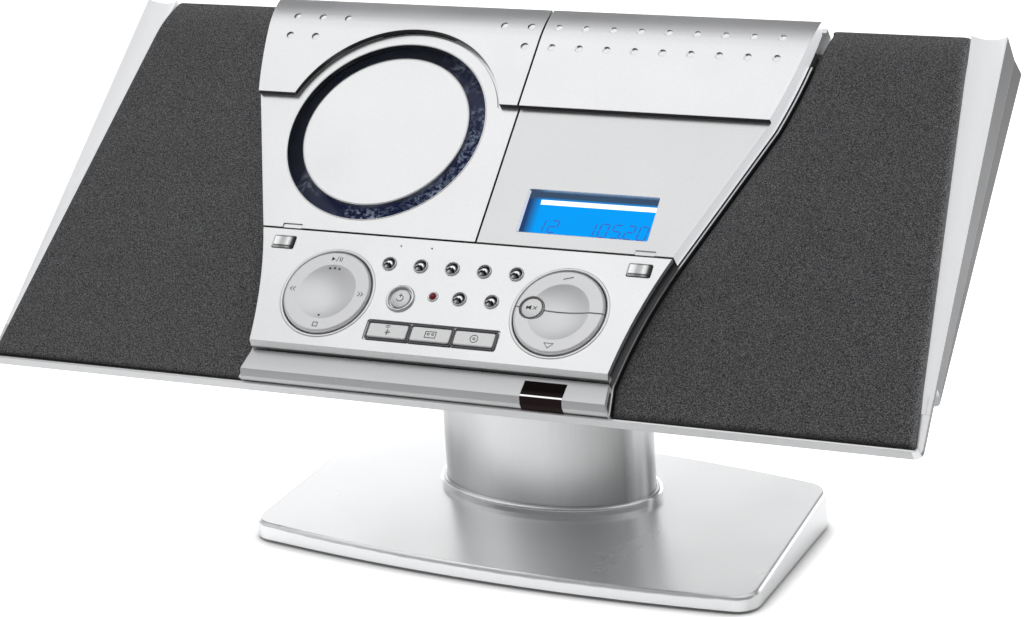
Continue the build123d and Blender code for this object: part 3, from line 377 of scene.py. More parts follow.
def add(tree, kind, **values):
    """New node with some of its settings and inputs set or linked."""
    node = tree.nodes.new(kind)
    for key, value in values.items():
        if hasattr(node, key):
            setattr(node, key, value)
        else:
            feed(tree, node.inputs[key.replace("_", " ")], value)
    return node


def new_group(name, inputs, outputs):
    """Empty shader group with named sockets."""
    group = bpy.data.node_groups.new(name, "ShaderNodeTree")
    for label, kind, value in inputs:
        socket = group.interface.new_socket(name=label, in_out="INPUT", socket_type=kind)
        socket.default_value = value
    for label, kind in outputs:
        group.interface.new_socket(name=label, in_out="OUTPUT", socket_type=kind)
    return group, group.nodes.new("NodeGroupInput"), group.nodes.new("NodeGroupOutput")


FINISH_OUTPUTS = (
    ("Colour", "NodeSocketColor"),
    ("Roughness", "NodeSocketFloat"),
    ("Height", "NodeSocketFloat"),
)


def ramp_between(tree, value, low, high, out_low=0.0, out_high=1.0):
    """Map a value from one range to another and hold it there."""
    node = add(tree, "ShaderNodeMapRange", clamp=True)
    for socket, item in zip(node.inputs, (value, low, high, out_low, out_high)):
        feed(tree, socket, item)
    return node.outputs[0]


def calculate(tree, operation, first, second=0.0, kind="ShaderNodeMath", output=0):
    """Result of an operation on one or two values."""
    node = add(tree, kind, operation=operation)
    feed(tree, node.inputs[0], first)
    feed(tree, node.inputs[1], second)
    return node.outputs[output]


def between_vectors(tree, operation, first, second, output=0):
    """Result of an operation on two vectors: a vector, or with output "Value" a number."""
    return calculate(tree, operation, first, second, "ShaderNodeVectorMath", output)


def mix_colour(tree, factor, first, second, blend="MIX"):
    """Two colours mixed by a factor."""
    node = add(tree, "ShaderNodeMix", data_type="RGBA", blend_type=blend)
    feed(tree, node.inputs[0], factor)
    for index, colour in ((6, first), (7, second)):
        linked = isinstance(colour, bpy.types.NodeSocket)
        feed(tree, node.inputs[index], colour if linked else (*colour[:3], 1))
    return node.outputs[2]


def place_in_piece(tree):
    """Place of a point in its piece's own axes."""
    return add(tree, "ShaderNodeTexCoord").outputs["Object"]


def even_grey(tree, tone):
    """Grey colour of one value."""
    return add(tree, "ShaderNodeCombineColor", Red=tone, Green=tone, Blue=tone).outputs[0]


def grey_bands(tree, value, tones):
    """Grey tones at places from 0 to 1 along a value."""
    node = add(tree, "ShaderNodeValToRGB")
    ends = node.color_ramp.elements
    for end, (place, tone) in zip(ends, (tones[0], tones[-1])):
        end.position, end.color = place, (tone, tone, tone, 1)
    for place, tone in tones[1:-1]:
        ends.new(place).color = (tone, tone, tone, 1)
    tree.links.new(value, node.inputs[0])
    return node.outputs[0]


def deepen(material, factor):
    """Multiply a material's base colour by another colour."""
    tree = material.node_tree
    goal = tree.nodes["Principled BSDF"].inputs["Base Color"]
    plain = goal.links[0].from_socket
    tree.links.new(mix_colour(tree, 1.0, plain, factor, "MULTIPLY"), goal)


def place_along(tree, axis):
    """Place in metres along one of the frame's axes."""
    return add(tree, "ShaderNodeSeparateXYZ", Vector=place_in_piece(tree)).outputs[axis]


def facing(material, direction):
    """How far a face looks in a direction, from -1 to 1."""
    return group_node(material, "facing_mask", Direction=direction).outputs["Facing"]


def facing_outward(material):
    """How far a face looks away from the middle of the radio, on either side."""
    tree = material.node_tree
    side = ramp_between(tree, place_along(tree, "X"), -0.05, 0.05, -1.0, 1.0)
    return calculate(tree, "MULTIPLY", facing(material, panel_right), side)


def build_paint_grain():
    """Fine metallic flake, slow patches and smudges of satin paint."""
    group, given, result = new_group(
        "paint_grain",
        (
            ("Colour", "NodeSocketColor", (0.7, 0.7, 0.7, 1)),
            ("Flake size", "NodeSocketFloat", 2600.0),
            ("Flake contrast", "NodeSocketFloat", 0.06),
            ("Roughness", "NodeSocketFloat", 0.3),
            ("Smudges", "NodeSocketFloat", 0.06),
        ),
        FINISH_OUTPUTS,
    )
    links = group.links
    place = place_in_piece(group)
    flake = add(group, "ShaderNodeTexNoise", Vector=place, Scale=given.outputs["Flake size"], Detail=2.0,
                Roughness=0.6)
    patches = add(group, "ShaderNodeTexNoise", Vector=place, Scale=23.0, Detail=4.0, Roughness=0.55)
    low = calculate(group, "SUBTRACT", 1.0, given.outputs["Flake contrast"])
    high = calculate(group, "ADD", 1.0, given.outputs["Flake contrast"])
    shade = ramp_between(group, flake.outputs[0], 0.3, 0.7, low, high)
    slow = ramp_between(group, patches.outputs[0], 0.25, 0.75, 0.985, 1.015)
    grey = even_grey(group, calculate(group, "MULTIPLY", shade, slow))
    toned = mix_colour(group, 1.0, given.outputs["Colour"], grey, "MULTIPLY")
    links.new(toned, result.inputs["Colour"])
    swing = ramp_between(group, patches.outputs[0], 0.3, 0.7, -0.5, 0.5)
    spread = calculate(group, "MULTIPLY", swing, given.outputs["Smudges"])
    links.new(calculate(group, "ADD", given.outputs["Roughness"], spread), result.inputs["Roughness"])
    links.new(flake.outputs[0], result.inputs["Height"])
    return group


def build_brushed_lines():
    """Long fine scratches of a brushed metal, along the axis with the small scale."""
    group, given, result = new_group(
        "brushed_lines",
        (
            ("Colour", "NodeSocketColor", (0.7, 0.7, 0.7, 1)),
            ("Stretch", "NodeSocketVector", (1.0, 1.0, 1.0)),
            ("Contrast", "NodeSocketFloat", 0.08),
            ("Roughness", "NodeSocketFloat", 0.3),
            ("Spread", "NodeSocketFloat", 0.1),
        ),
        FINISH_OUTPUTS,
    )
    links = group.links
    drawn = between_vectors(group, "MULTIPLY", place_in_piece(group), given.outputs["Stretch"])
    lines = add(group, "ShaderNodeTexNoise", Vector=drawn, Scale=1.0, Detail=3.0, Roughness=0.7)
    low = calculate(group, "SUBTRACT", 1.0, given.outputs["Contrast"])
    high = calculate(group, "ADD", 1.0, given.outputs["Contrast"])
    tone = ramp_between(group, lines.outputs[0], 0.3, 0.7, low, high)
    toned = mix_colour(group, 1.0, given.outputs["Colour"], even_grey(group, tone), "MULTIPLY")
    links.new(toned, result.inputs["Colour"])
    swing = ramp_between(group, lines.outputs[0], 0.3, 0.7, -0.5, 0.5)
    spread = calculate(group, "MULTIPLY", swing, given.outputs["Spread"])
    links.new(calculate(group, "ADD", given.outputs["Roughness"], spread), result.inputs["Roughness"])
    links.new(lines.outputs[0], result.inputs["Height"])
    return group


def build_soft_edges():
    """Rounded look of sharp edges: their normal and a mask of where they are."""
    group, given, result = new_group(
        "soft_edges",
        (("Radius", "NodeSocketFloat", 0.0004),),
        (("Normal", "NodeSocketVector"), ("Edge", "NodeSocketFloat")),
    )
    links = group.links
    rounded = add(group, "ShaderNodeBevel", samples=4, Radius=given.outputs["Radius"]).outputs[0]
    flat = add(group, "ShaderNodeNewGeometry").outputs["Normal"]
    along = between_vectors(group, "DOT_PRODUCT", rounded, flat, "Value")
    links.new(rounded, result.inputs["Normal"])
    links.new(ramp_between(group, along, 1.0, 0.8), result.inputs["Edge"])
    return group


def build_cloth_weave():
    """Close, slightly uneven black and grey threads with single brighter fibres."""
    group, given, result = new_group(
        "cloth_weave",
        (
            ("Dark", "NodeSocketColor", (0.02, 0.02, 0.02, 1)),
            ("Light", "NodeSocketColor", (0.1, 0.1, 0.1, 1)),
            ("Scale", "NodeSocketFloat", 1100.0),
        ),
        (("Colour", "NodeSocketColor"), ("Height", "NodeSocketFloat")),
    )
    links = group.links
    place, scale = place_in_piece(group), given.outputs["Scale"]
    knots = add(group, "ShaderNodeTexVoronoi", feature="F1", Vector=place, Scale=scale)
    fibres = add(group, "ShaderNodeTexNoise", Vector=place, Scale=scale, Detail=3.0, Roughness=0.7)
    patches = add(group, "ShaderNodeTexNoise", Vector=place, Scale=60.0, Detail=2.0)
    round_knot = ramp_between(group, knots.outputs["Distance"], 0.1, 0.75, 1.0, 0.0)
    speck = ramp_between(group, fibres.outputs[0], 0.38, 0.66)
    both = calculate(group, "MULTIPLY", calculate(group, "ADD", round_knot, 0.35), speck)
    slow = ramp_between(group, patches.outputs[0], 0.3, 0.7, 0.96, 1.04)
    amount = calculate(group, "MULTIPLY", both, slow)
    shown = mix_colour(group, amount, given.outputs["Dark"], given.outputs["Light"])
    links.new(shown, result.inputs["Colour"])
    links.new(calculate(group, "ADD", round_knot, speck), result.inputs["Height"])
    return group


def build_facing_mask():
    """Mask of the faces that look in a given direction."""
    group, given, result = new_group(
        "facing_mask",
        (
            ("Direction", "NodeSocketVector", (0.0, 0.0, 1.0)),
            ("Low", "NodeSocketFloat", 0.6),
            ("High", "NodeSocketFloat", 0.8),
        ),
        (("Mask", "NodeSocketFloat"), ("Facing", "NodeSocketFloat")),
    )
    links = group.links
    normal = add(group, "ShaderNodeTexCoord").outputs["Normal"]
    turned = between_vectors(group, "DOT_PRODUCT", normal, given.outputs["Direction"], "Value")
    mask = ramp_between(group, turned, given.outputs["Low"], given.outputs["High"])
    links.new(mask, result.inputs["Mask"])
    links.new(turned, result.inputs["Facing"])
    return group


groups = {}


def group_node(material, name, **values):
    """Place a shared group in a material with its own values."""
    builders = {
        "paint_grain": build_paint_grain,
        "brushed_lines": build_brushed_lines,
        "soft_edges": build_soft_edges,
        "cloth_weave": build_cloth_weave,
        "facing_mask": build_facing_mask,
    }
    if name not in groups:
        groups[name] = builders[name]()
    node = material.node_tree.nodes.new("ShaderNodeGroup")
    node.node_tree = groups[name]
    for key, value in values.items():
        node.inputs[key.replace("_", " ")].default_value = value
    return node


def new_material(name, metallic=0.0, roughness=0.4, **sockets):
    """Material with plain numbers on its shader's own sockets."""
    material = bpy.data.materials.new(name)
    material.use_nodes = True
    shader = material.node_tree.nodes["Principled BSDF"]
    shader.inputs["Metallic"].default_value = metallic
    shader.inputs["Roughness"].default_value = roughness
    for key, value in sockets.items():
        shader.inputs[key.replace("_", " ")].default_value = value
    return material, shader


def grained(material, colour, roughness, flake, contrast, smudges):
    """Give a material a fine grain of colour and roughness."""
    tree = material.node_tree
    shader = tree.nodes["Principled BSDF"]
    grain = group_node(material, "paint_grain", Colour=(*colour, 1), Flake_size=flake,
                       Flake_contrast=contrast, Roughness=roughness, Smudges=smudges)
    tree.links.new(grain.outputs["Colour"], shader.inputs["Base Color"])
    tree.links.new(grain.outputs["Roughness"], shader.inputs["Roughness"])
    return grain


def relieved(material, height, strength, depth=0.0001, normal=None):
    """Give a material a fine relief over its own or another normal."""
    tree = material.node_tree
    relief = add(tree, "ShaderNodeBump", Strength=strength, Distance=depth, Height=height)
    if normal:
        tree.links.new(normal, relief.inputs["Normal"])
    tree.links.new(relief.outputs[0], tree.nodes["Principled BSDF"].inputs["Normal"])


def painted(name, colour, metallic, roughness, flake=1300.0, contrast=0.03, smudges=0.05, bump=0.015,
            edge=0.35, painted_shades=(), walls=None):
    """Satin painted or moulded finish with flake and smudges, with a painted highlight on its soft edges
    and painted shade on its side faces.

    Edge is how far the painted highlight lightens the soft edges. Each painted shade is a direction, two
    limits and the colour of the faces that look that way. Walls is the colour of the painted shade on the
    side walls, which face away from the middle of the radio.
    """
    material, shader = new_material(name, metallic)
    tree = material.node_tree
    grain = grained(material, colour, roughness, flake, contrast, smudges)
    edges = group_node(material, "soft_edges", Radius=0.0004)
    shown = grain.outputs["Colour"]
    # Painted shade: the faces that look each given way take a darker colour.
    for direction, low, high, tone in painted_shades:
        mask = group_node(material, "facing_mask", Direction=direction, Low=low, High=high)
        shown = mix_colour(tree, mask.outputs["Mask"], shown, tone)
    # Painted shade on the side walls, which face away from the middle.
    if walls:
        shown = mix_colour(tree, ramp_between(tree, facing_outward(material), 0.75, 0.9), shown, walls)
    # Painted highlight: the soft edges are lightened.
    bright = [min(1.0, c + edge * (1 - c)) for c in colour]
    shown = mix_colour(tree, edges.outputs["Edge"], shown, bright)
    tree.links.new(shown, shader.inputs["Base Color"])
    relieved(material, grain.outputs["Height"], bump, normal=edges.outputs["Normal"])
    return material


def painted_light_side(material, direction, low, high, strength):
    """Painted light: the faces that look one way glow white and so stay light."""
    shader = material.node_tree.nodes["Principled BSDF"]
    mask = group_node(material, "facing_mask", Direction=direction, Low=low, High=high)
    # Painted light: a white glow on the faces that look that way.
    shader.inputs["Emission Color"].default_value = (0.96, 0.97, 1.0, 1)
    amount = calculate(material.node_tree, "MULTIPLY", mask.outputs["Mask"], strength)
    material.node_tree.links.new(amount, shader.inputs["Emission Strength"])
    return material


def soft_cove(material):
    """Make the hollow rails beside the grilles satin and keep them light with painted light, a white glow,
    but not the side walls.
    """
    tree = material.node_tree
    shader = tree.nodes["Principled BSDF"]
    outward = facing_outward(material)
    turned = ramp_between(tree, calculate(tree, "ABSOLUTE", outward), 0.01, 0.14)
    across = calculate(tree, "ABSOLUTE", place_along(tree, "X"))
    beside = ramp_between(tree, across, RAIL_X, RAIL_X + 0.003)
    above = ramp_between(tree, place_along(tree, "Z"), RAIL_Z, RAIL_Z + 0.004)
    hollow = calculate(tree, "MULTIPLY", beside, above)
    satin_glow_area = calculate(tree, "MAXIMUM", turned, hollow)
    not_wall = ramp_between(tree, outward, 0.9, 0.75)
    mask = calculate(tree, "MULTIPLY", satin_glow_area, not_wall)
    painted_roughness = shader.inputs["Roughness"].links[0].from_socket
    roughness = calculate(tree, "ADD", painted_roughness, calculate(tree, "MULTIPLY", mask, 0.3))
    tree.links.new(roughness, shader.inputs["Roughness"])
    tree.links.new(ramp_between(tree, mask, 0.0, 1.0, 0.8, 0.2), shader.inputs["Metallic"])
    # Painted light: the hollow rails glow white.
    shader.inputs["Emission Color"].default_value = (0.97, 0.98, 1.0, 1)
    tree.links.new(calculate(tree, "MULTIPLY", mask, 0.42), shader.inputs["Emission Strength"])
    return material


def strip_metal(name):
    """Satin paint of the bottom strip, with painted shade that is deepest next to the console and painted
    light at its lower edge.
    """
    material = painted(name, (0.58, 0.585, 0.59), 0.8, 0.28, flake=FINE_FLAKE, contrast=0.012, smudges=0.03,
                       bump=0.0)
    tree = material.node_tree
    height, strip_rise = panel_reach(tree, panel_up, 0, STRIP_LOW_V), 0.018
    # Painted shade under the console, and painted light at the bottom of the strip.
    deepen(material, even_grey(tree, ramp_between(tree, height, 0.0, strip_rise, 1.12, 0.78)))
    return material


def chrome_dome(name):
    """Bright plating of a small dome, with a painted reflection: a bent bright band across a dark one."""
    material, _ = new_material(name, 1.0, 0.12)
    grained(material, (0.9, 0.9, 0.91), 0.12, flake=900.0, contrast=0.03, smudges=0.05)
    tree = material.node_tree
    # Painted reflection: grey bands set by the way each face of the dome looks.
    lean = calculate(tree, "SUBTRACT", facing(material, (panel_right - panel_up * 0.5).normalized()), 0.12)
    bend = calculate(tree, "MULTIPLY", calculate(tree, "MULTIPLY", lean, lean), 1.6)
    rise = calculate(tree, "ADD", facing(material, (panel_up + panel_right * 0.5).normalized()), bend)
    tones = (
        (0.0, 0.55), (0.14, 0.95), (0.24, 0.5), (0.32, 0.03), (0.47, 0.02), (0.51, 0.9), (0.58, 1.0),
        (0.64, 0.25), (0.72, 0.02), (0.84, 0.05), (0.92, 0.6), (1.0, 0.3),
    )
    deepen(material, grey_bands(tree, ramp_between(tree, rise, -0.6, 0.75), tones))
    return material


def key_chrome(name, node):
    """Plating of an OPEN key, with a painted reflection on its rounded face: light at its left and dark at
    its right end.
    """
    material = painted(name, (0.86, 0.865, 0.87), 0.9, 0.2, flake=FINE_FLAKE, contrast=0.02, bump=0.0,
                       edge=0.2)
    tree = material.node_tree
    low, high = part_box(node)
    tones = (
        (0.0, 0.7), (0.1, 0.95), (0.28, 0.8), (0.42, 0.45), (0.58, 0.5), (0.72, 0.85), (0.82, 0.6),
        (0.9, 0.12), (1.0, 0.08),
    )
    # Painted reflection in grey bands across the key from its left to its right end.
    deepen(material, grey_bands(tree, ramp_between(tree, place_along(tree, "X"), low.x, high.x), tones))
    return material


def brushed(name, colour, stretch, roughness, contrast=0.06, spread=0.08, bump=0.06):
    """Brushed metal with long fine lines."""
    material, shader = new_material(name, 1.0)
    tree = material.node_tree
    lines = group_node(
        material, "brushed_lines", Colour=(*colour, 1), Stretch=stretch, Contrast=contrast,
        Roughness=roughness, Spread=spread,
    )
    edges = group_node(material, "soft_edges", Radius=0.0003)
    tree.links.new(lines.outputs["Colour"], shader.inputs["Base Color"])
    tree.links.new(lines.outputs["Roughness"], shader.inputs["Roughness"])
    relieved(material, lines.outputs["Height"], bump, normal=edges.outputs["Normal"])
    return material


def column_metal(name):
    """Satin metal of the column, with painted reflection bands round its curve, brighter where it faces the
    front.
    """
    material = brushed(name, (0.98, 0.985, 0.99), (1400, 1400, 20), 0.34, contrast=0.02, spread=0.04,
                       bump=0.02)
    tree = material.node_tree
    tones = (
        (0.0, 0.75), (0.2, 0.58), (0.42, 1.0), (0.54, 0.95), (0.66, 0.7), (0.8, 0.5), (0.87, 0.95),
        (0.93, 0.85), (1.0, 0.55),
    )
    # Painted reflection: grey bands round the column by the way each face looks.
    deepen(material, grey_bands(tree, ramp_between(tree, facing(material, panel_right), -1.0, 1.0), tones))
    return material


def cloth(name, dark, light):
    """Grille cloth with a fine knotted surface, with painted light where it faces right and painted shade
    where it faces left or down.
    """
    material, shader = new_material(name, 0.0, 0.92, Sheen_Weight=0.25, Sheen_Roughness=0.5,
                                    Specular_IOR_Level=0.25)
    tree = material.node_tree
    weave = group_node(material, "cloth_weave", Dark=(*dark, 1), Light=(*light, 1), Scale=1700.0)
    tree.links.new(weave.outputs["Colour"], shader.inputs["Base Color"])
    # Painted light and shade by the way each face of the cloth looks.
    side_light_and_shade = ramp_between(tree, facing(material, panel_right), -0.7, 0.7, 0.4, 1.6)
    down_shade = ramp_between(tree, facing(material, -panel_up), 0.15, 0.75, 1.0, 0.3)
    deepen(material, even_grey(tree, calculate(tree, "MULTIPLY", side_light_and_shade, down_shade)))
    relieved(material, weave.outputs["Height"], 0.55, depth=0.0004)
    return material


def panel_distance(tree, x, v, w):
    """Distance in metres from a point of the panel."""
    point = panel_matrix(x, v, w).translation
    return between_vectors(tree, "DISTANCE", place_in_piece(tree), point, "Value")


def panel_reach(tree, direction, x, v):
    """Signed distance in metres from a point of the panel along a direction."""
    away = between_vectors(tree, "SUBTRACT", place_in_piece(tree), panel_matrix(x, v, 0).translation)
    return between_vectors(tree, "DOT_PRODUCT", away, direction, "Value")


def printed_disc(name, centre_x):
    """Disc with a clear hub, a mirror band and a plain dark blue speckled print in painted light and shade.
    """
    material, shader = new_material(name, 0.15, 0.25, Emission_Strength=0.45)
    tree = material.node_tree
    place = place_in_piece(tree)
    speckle = add(tree, "ShaderNodeTexNoise", Vector=place, Scale=420.0, Detail=5.0, Roughness=0.7)
    clouds = add(tree, "ShaderNodeTexNoise", Vector=place, Scale=60.0, Detail=4.0, Roughness=0.65)
    # Painted light on the lower right side of the print, painted shade on the rest.
    towards = (panel_right * 0.75 - panel_up * 0.66).normalized()
    side = ramp_between(tree, panel_reach(tree, towards, centre_x, 0), -0.03, 0.03)
    cover = ramp_between(tree, clouds.outputs[0], 0.42, 0.62)
    dots = ramp_between(tree, speckle.outputs[0], 0.47, 0.6)
    amount = calculate(tree, "MULTIPLY", calculate(tree, "MULTIPLY", cover, dots), side)
    ground = mix_colour(tree, side, (0.004, 0.005, 0.016), (0.012, 0.022, 0.1))
    print_colour = mix_colour(tree, amount, ground, (0.62, 0.74, 0.95))
    radius = panel_distance(tree, centre_x, 0, -10.7)
    hub_radius, print_radius = 0.0215, 0.0219
    hub = ramp_between(tree, radius, hub_radius, print_radius)
    mirrored = mix_colour(tree, hub, (0.75, 0.77, 0.8), print_colour)
    tree.links.new(mirrored, shader.inputs["Base Color"])
    # Painted light: the print glows faintly.
    tree.links.new(print_colour, shader.inputs["Emission Color"])
    tree.links.new(ramp_between(tree, radius, hub_radius, print_radius, 0.9, 0.15), shader.inputs["Metallic"])
    relieved(material, speckle.outputs[0], 0.03)
    return material


def lit_display(name, colour):
    """Backlit display, with painted shade under its frame at the top and on the left."""
    material, shader = new_material(name, 0.0, 0.2, Emission_Strength=1.0, Specular_IOR_Level=0.03)
    tree = material.node_tree
    grain = grained(material, colour, 0.2, flake=3000.0, contrast=0.02, smudges=0.05)
    # Painted shade from the frame along the left and the top of the display.
    left = ramp_between(tree, panel_reach(tree, panel_right, DISPLAY_LEFT_X, 0), 0.0008, 0.007)
    top = ramp_between(tree, panel_reach(tree, panel_up, 0, DISPLAY_TOP_V), -0.0016, -0.0034)
    lit = mix_colour(tree, left, (0.02, 0.055, 0.16), grain.outputs["Colour"])
    shown = mix_colour(tree, top, (0.045, 0.08, 0.14), lit)
    tree.links.new(shown, shader.inputs["Emission Color"])
    tree.links.new(mix_colour(tree, 0.9, shown, (0.0, 0.01, 0.03)), shader.inputs["Base Color"])
    return material


def glowing(name, colour, emission, strength, roughness=0.25):
    """Small lit or printed piece of the display, or the light's lens."""
    material, shader = new_material(name, 0.0, roughness, Emission_Strength=strength)
    tree = material.node_tree
    lit = group_node(material, "paint_grain", Colour=(*emission, 1), Flake_size=1800.0, Flake_contrast=0.05)
    tree.links.new(lit.outputs["Colour"], shader.inputs["Emission Color"])
    grained(material, colour, roughness, flake=1800.0, contrast=0.05, smudges=0.08)
    return material


def tinted_window(name, colour, alpha, roughness):
    """See-through tinted plastic."""
    material, shader = new_material(name, 0.0, roughness, IOR=1.3)
    tree = material.node_tree
    grain = grained(material, colour, roughness, flake=900.0, contrast=0.1, smudges=0.06)
    dust = ramp_between(tree, grain.outputs["Height"], 0.35, 0.65, alpha - 0.02, alpha + 0.02)
    tree.links.new(dust, shader.inputs["Alpha"])
    return material


def infrared_filter(name):
    """Nearly black red plastic with a painted highlight along its bend: a bright line and a faint glow."""
    material, shader = new_material(name, 0.0, 0.12, IOR=1.1, Emission_Strength=1.0)
    tree = material.node_tree
    grain = grained(material, (0.0012, 0.0002, 0.0002), 0.12, flake=2000.0, contrast=0.2, smudges=0.04)
    # Painted highlight: a bright line along the bend, with a faint glow below and just above it.
    height = panel_reach(tree, panel_up, 0, WINDOW_BEND_V)
    line = ramp_between(tree, calculate(tree, "ABSOLUTE", height), 0.0006, 0.0003)
    red = ramp_between(tree, height, 0.0012, 0.0035)
    glow = mix_colour(tree, red, (0.013, 0.008, 0.0085), (0.0012, 0.0, 0.0))
    shown = mix_colour(tree, line, grain.outputs["Colour"], (0.9, 0.9, 0.9))
    tree.links.new(shown, shader.inputs["Base Color"])
    tree.links.new(mix_colour(tree, line, glow, (0.75, 0.75, 0.76)), shader.inputs["Emission Color"])
    return material


def shell_paint(name, walls):
    """Silver paint of the housing, with painted shade on its side walls."""
    look = bpy.context.scene.radio_finish
    return painted(name, tuple(look.shell_colour), 0.8, look.shell_roughness, flake=FINE_FLAKE, contrast=0.02,
                   walls=walls)


def base_paint(name):
    """Silver paint of the base plate, with painted light: its front edge glows white and stays light."""
    material = painted(name, (0.88, 0.885, 0.89), 0.85, 0.26, flake=FINE_FLAKE, contrast=0.012, smudges=0.03,
                       bump=0.0, edge=0.5)
    return painted_light_side(material, (0, -1, 0), 0.7, 0.95, 0.2)


def panel_paint(name, depth=1.0, painted_shades=()):
    """Lighter silver paint of the console and the lids, with painted shade on faces that look given ways."""
    look = bpy.context.scene.radio_finish
    colour = tuple(depth * tone for tone in look.panel_colour)
    return painted(name, colour, 0.85, look.panel_roughness, painted_shades=painted_shades)


def right_lid_paint(name, depth=1.0, painted_shades=()):
    """Panel paint of the right lid, with painted light: its right side glows white and stays light."""
    painted_light_facing = (0.96, -0.2, -0.18)
    return painted_light_side(panel_paint(name, depth, painted_shades), painted_light_facing, 0.8, 0.95, 0.6)


materials = {}


def finish(name):
    """One of the radio's finishes, made when it is first used."""
    if name in materials:
        return materials[name]
    look = bpy.context.scene.radio_finish
    # Painted shade: lid faces that look down the slope, and on the left lid those that look right, take this
    # dark colour.
    shaded = (0.08, 0.08, 0.085)
    shade_facing_down = (-panel_up, 0.6, 0.8, shaded)
    shade_facing_right = (panel_right, 0.6, 0.8, shaded)
    makers = {
        # The wall colours of the shell and rear paints are painted shade on the side walls.
        "shell paint": lambda: soft_cove(shell_paint(name, (0.2, 0.2, 0.207))),
        "rear paint": lambda: shell_paint(name, (0.11, 0.11, 0.115)),
        "base paint": lambda: base_paint(name),
        "strip paint": lambda: strip_metal(name),
        "panel paint": lambda: panel_paint(name),
        "left lid paint": lambda: panel_paint(name, painted_shades=(shade_facing_down, shade_facing_right)),
        "right lid paint": lambda: right_lid_paint(name, painted_shades=(shade_facing_down,)),
        "right plate paint": lambda: right_lid_paint(name, depth=0.86),
        "column metal": lambda: column_metal(name),
        "collar trim": lambda: painted(name, (0.85, 0.86, 0.87), 0.9, 0.2, contrast=0.02, edge=0.4),
        "chrome": lambda: chrome_dome(name),
        "key plating": lambda: painted(name, (0.7, 0.71, 0.72), 0.95, 0.16, contrast=0.03, edge=0.4),
        "left key chrome": lambda: key_chrome(name, "open_key_left"),
        "right key chrome": lambda: key_chrome(name, "open_key_right"),
        "dish satin": lambda: painted(name, (0.9, 0.905, 0.91), 0.4, 0.33, flake=FINE_FLAKE, contrast=0.015,
                                      smudges=0.03, bump=0.0),
        "key face": lambda: painted(name, (0.9, 0.905, 0.905), 0.35, 0.32, flake=FINE_FLAKE, contrast=0.02),
        "dark trim": lambda: painted(name, (0.022, 0.022, 0.024), 0.1, 0.28, contrast=0.2, edge=0.08),
        "frame metal": lambda: painted(name, (0.11, 0.11, 0.12), 0.9, 0.2, contrast=0.05, edge=0.5),
        "black plastic": lambda: painted(name, (0.012, 0.012, 0.013), 0.0, 0.45, flake=1500.0, contrast=0.3,
                                         bump=0.25, edge=0.04),
        "rubber": lambda: painted(name, (0.015, 0.015, 0.015), 0.0, 0.7, flake=1200.0, contrast=0.3, bump=0.4,
                                  edge=0.03),
        "steel": lambda: brushed(name, (0.5, 0.5, 0.51), (60, 900, 900), 0.35, contrast=0.12),
        "steel rod": lambda: brushed(name, (0.6, 0.6, 0.61), (900, 60, 60), 0.22, contrast=0.1),
        "circuit": lambda: painted(name, (0.02, 0.11, 0.045), 0.0, 0.35, flake=500.0, contrast=0.25,
                                   edge=0.1),
        "ink": lambda: painted(name, (0.04, 0.04, 0.045), 0.0, 0.4, contrast=0.15, edge=0.0),
        "grille cloth": lambda: cloth(name, (0.02, 0.02, 0.021), tuple(look.cloth_colour)),
        "grille frame": lambda: painted(name, (0.015, 0.015, 0.016), 0.0, 0.5, contrast=0.3, edge=0.02),
        "ring tint": lambda: tinted_window(name, tuple(look.ring_tint), 0.2, 0.08),
        "infrared filter": lambda: infrared_filter(name),
        "disc print": lambda: printed_disc(name, DISC_X),
        "display": lambda: lit_display(name, tuple(look.display_colour)),
        "numerals": lambda: glowing(name, (0, 0.01, 0.05), (0.0, 0.075, 0.42), 1.0),
        "white glowing bar": lambda: glowing(name, (0.9, 0.95, 1.0), (0.86, 0.95, 1.0), 1.05),
        "red lens": lambda: glowing(name, (0.12, 0.0, 0.0), (0.25, 0.0, 0.01), 0.25, 0.1),
    }
    materials[name] = makers[name]()
    return materials[name]


def paint(finish_name, *names):
    """Give CAD nodes a finish."""
    material = finish(finish_name)
    for name in names:
        mesh = nodes[name].data
        mesh.materials.clear()
        mesh.materials.append(material)


# Settings


class RadioFinish(bpy.types.PropertyGroup):
    """Colours and roughness of the finishes"""

    shell_colour: FloatVectorProperty(
        name="Shell", description="Silver paint of the housing and the base", subtype="COLOR", min=0, max=1,
        default=(0.72, 0.725, 0.73),
    )
    panel_colour: FloatVectorProperty(
        name="Panel", description="Lighter silver paint of the lids and the console", subtype="COLOR",
        min=0, max=1, default=(0.8, 0.805, 0.81),
    )
    cloth_colour: FloatVectorProperty(
        name="Cloth", description="Lighter threads of the grille cloth", subtype="COLOR", min=0, max=1,
        default=(0.42, 0.42, 0.425),
    )
    ring_tint: FloatVectorProperty(
        name="Ring", description="Tint of the window ring over the disc", subtype="COLOR", min=0, max=1,
        default=(0.006, 0.008, 0.018),
    )
    display_colour: FloatVectorProperty(
        name="Display", description="Colour of the lit display", subtype="COLOR", min=0, max=1,
        default=(0.0, 0.333, 0.92),
    )
    shell_roughness: FloatProperty(
        name="Shell roughness", description="Roughness of the shell paint", subtype="FACTOR", min=0, max=1,
        default=0.3,
    )
    panel_roughness: FloatProperty(
        name="Panel roughness", description="Roughness of the panel paint", subtype="FACTOR", min=0, max=1,
        default=0.3,
    )


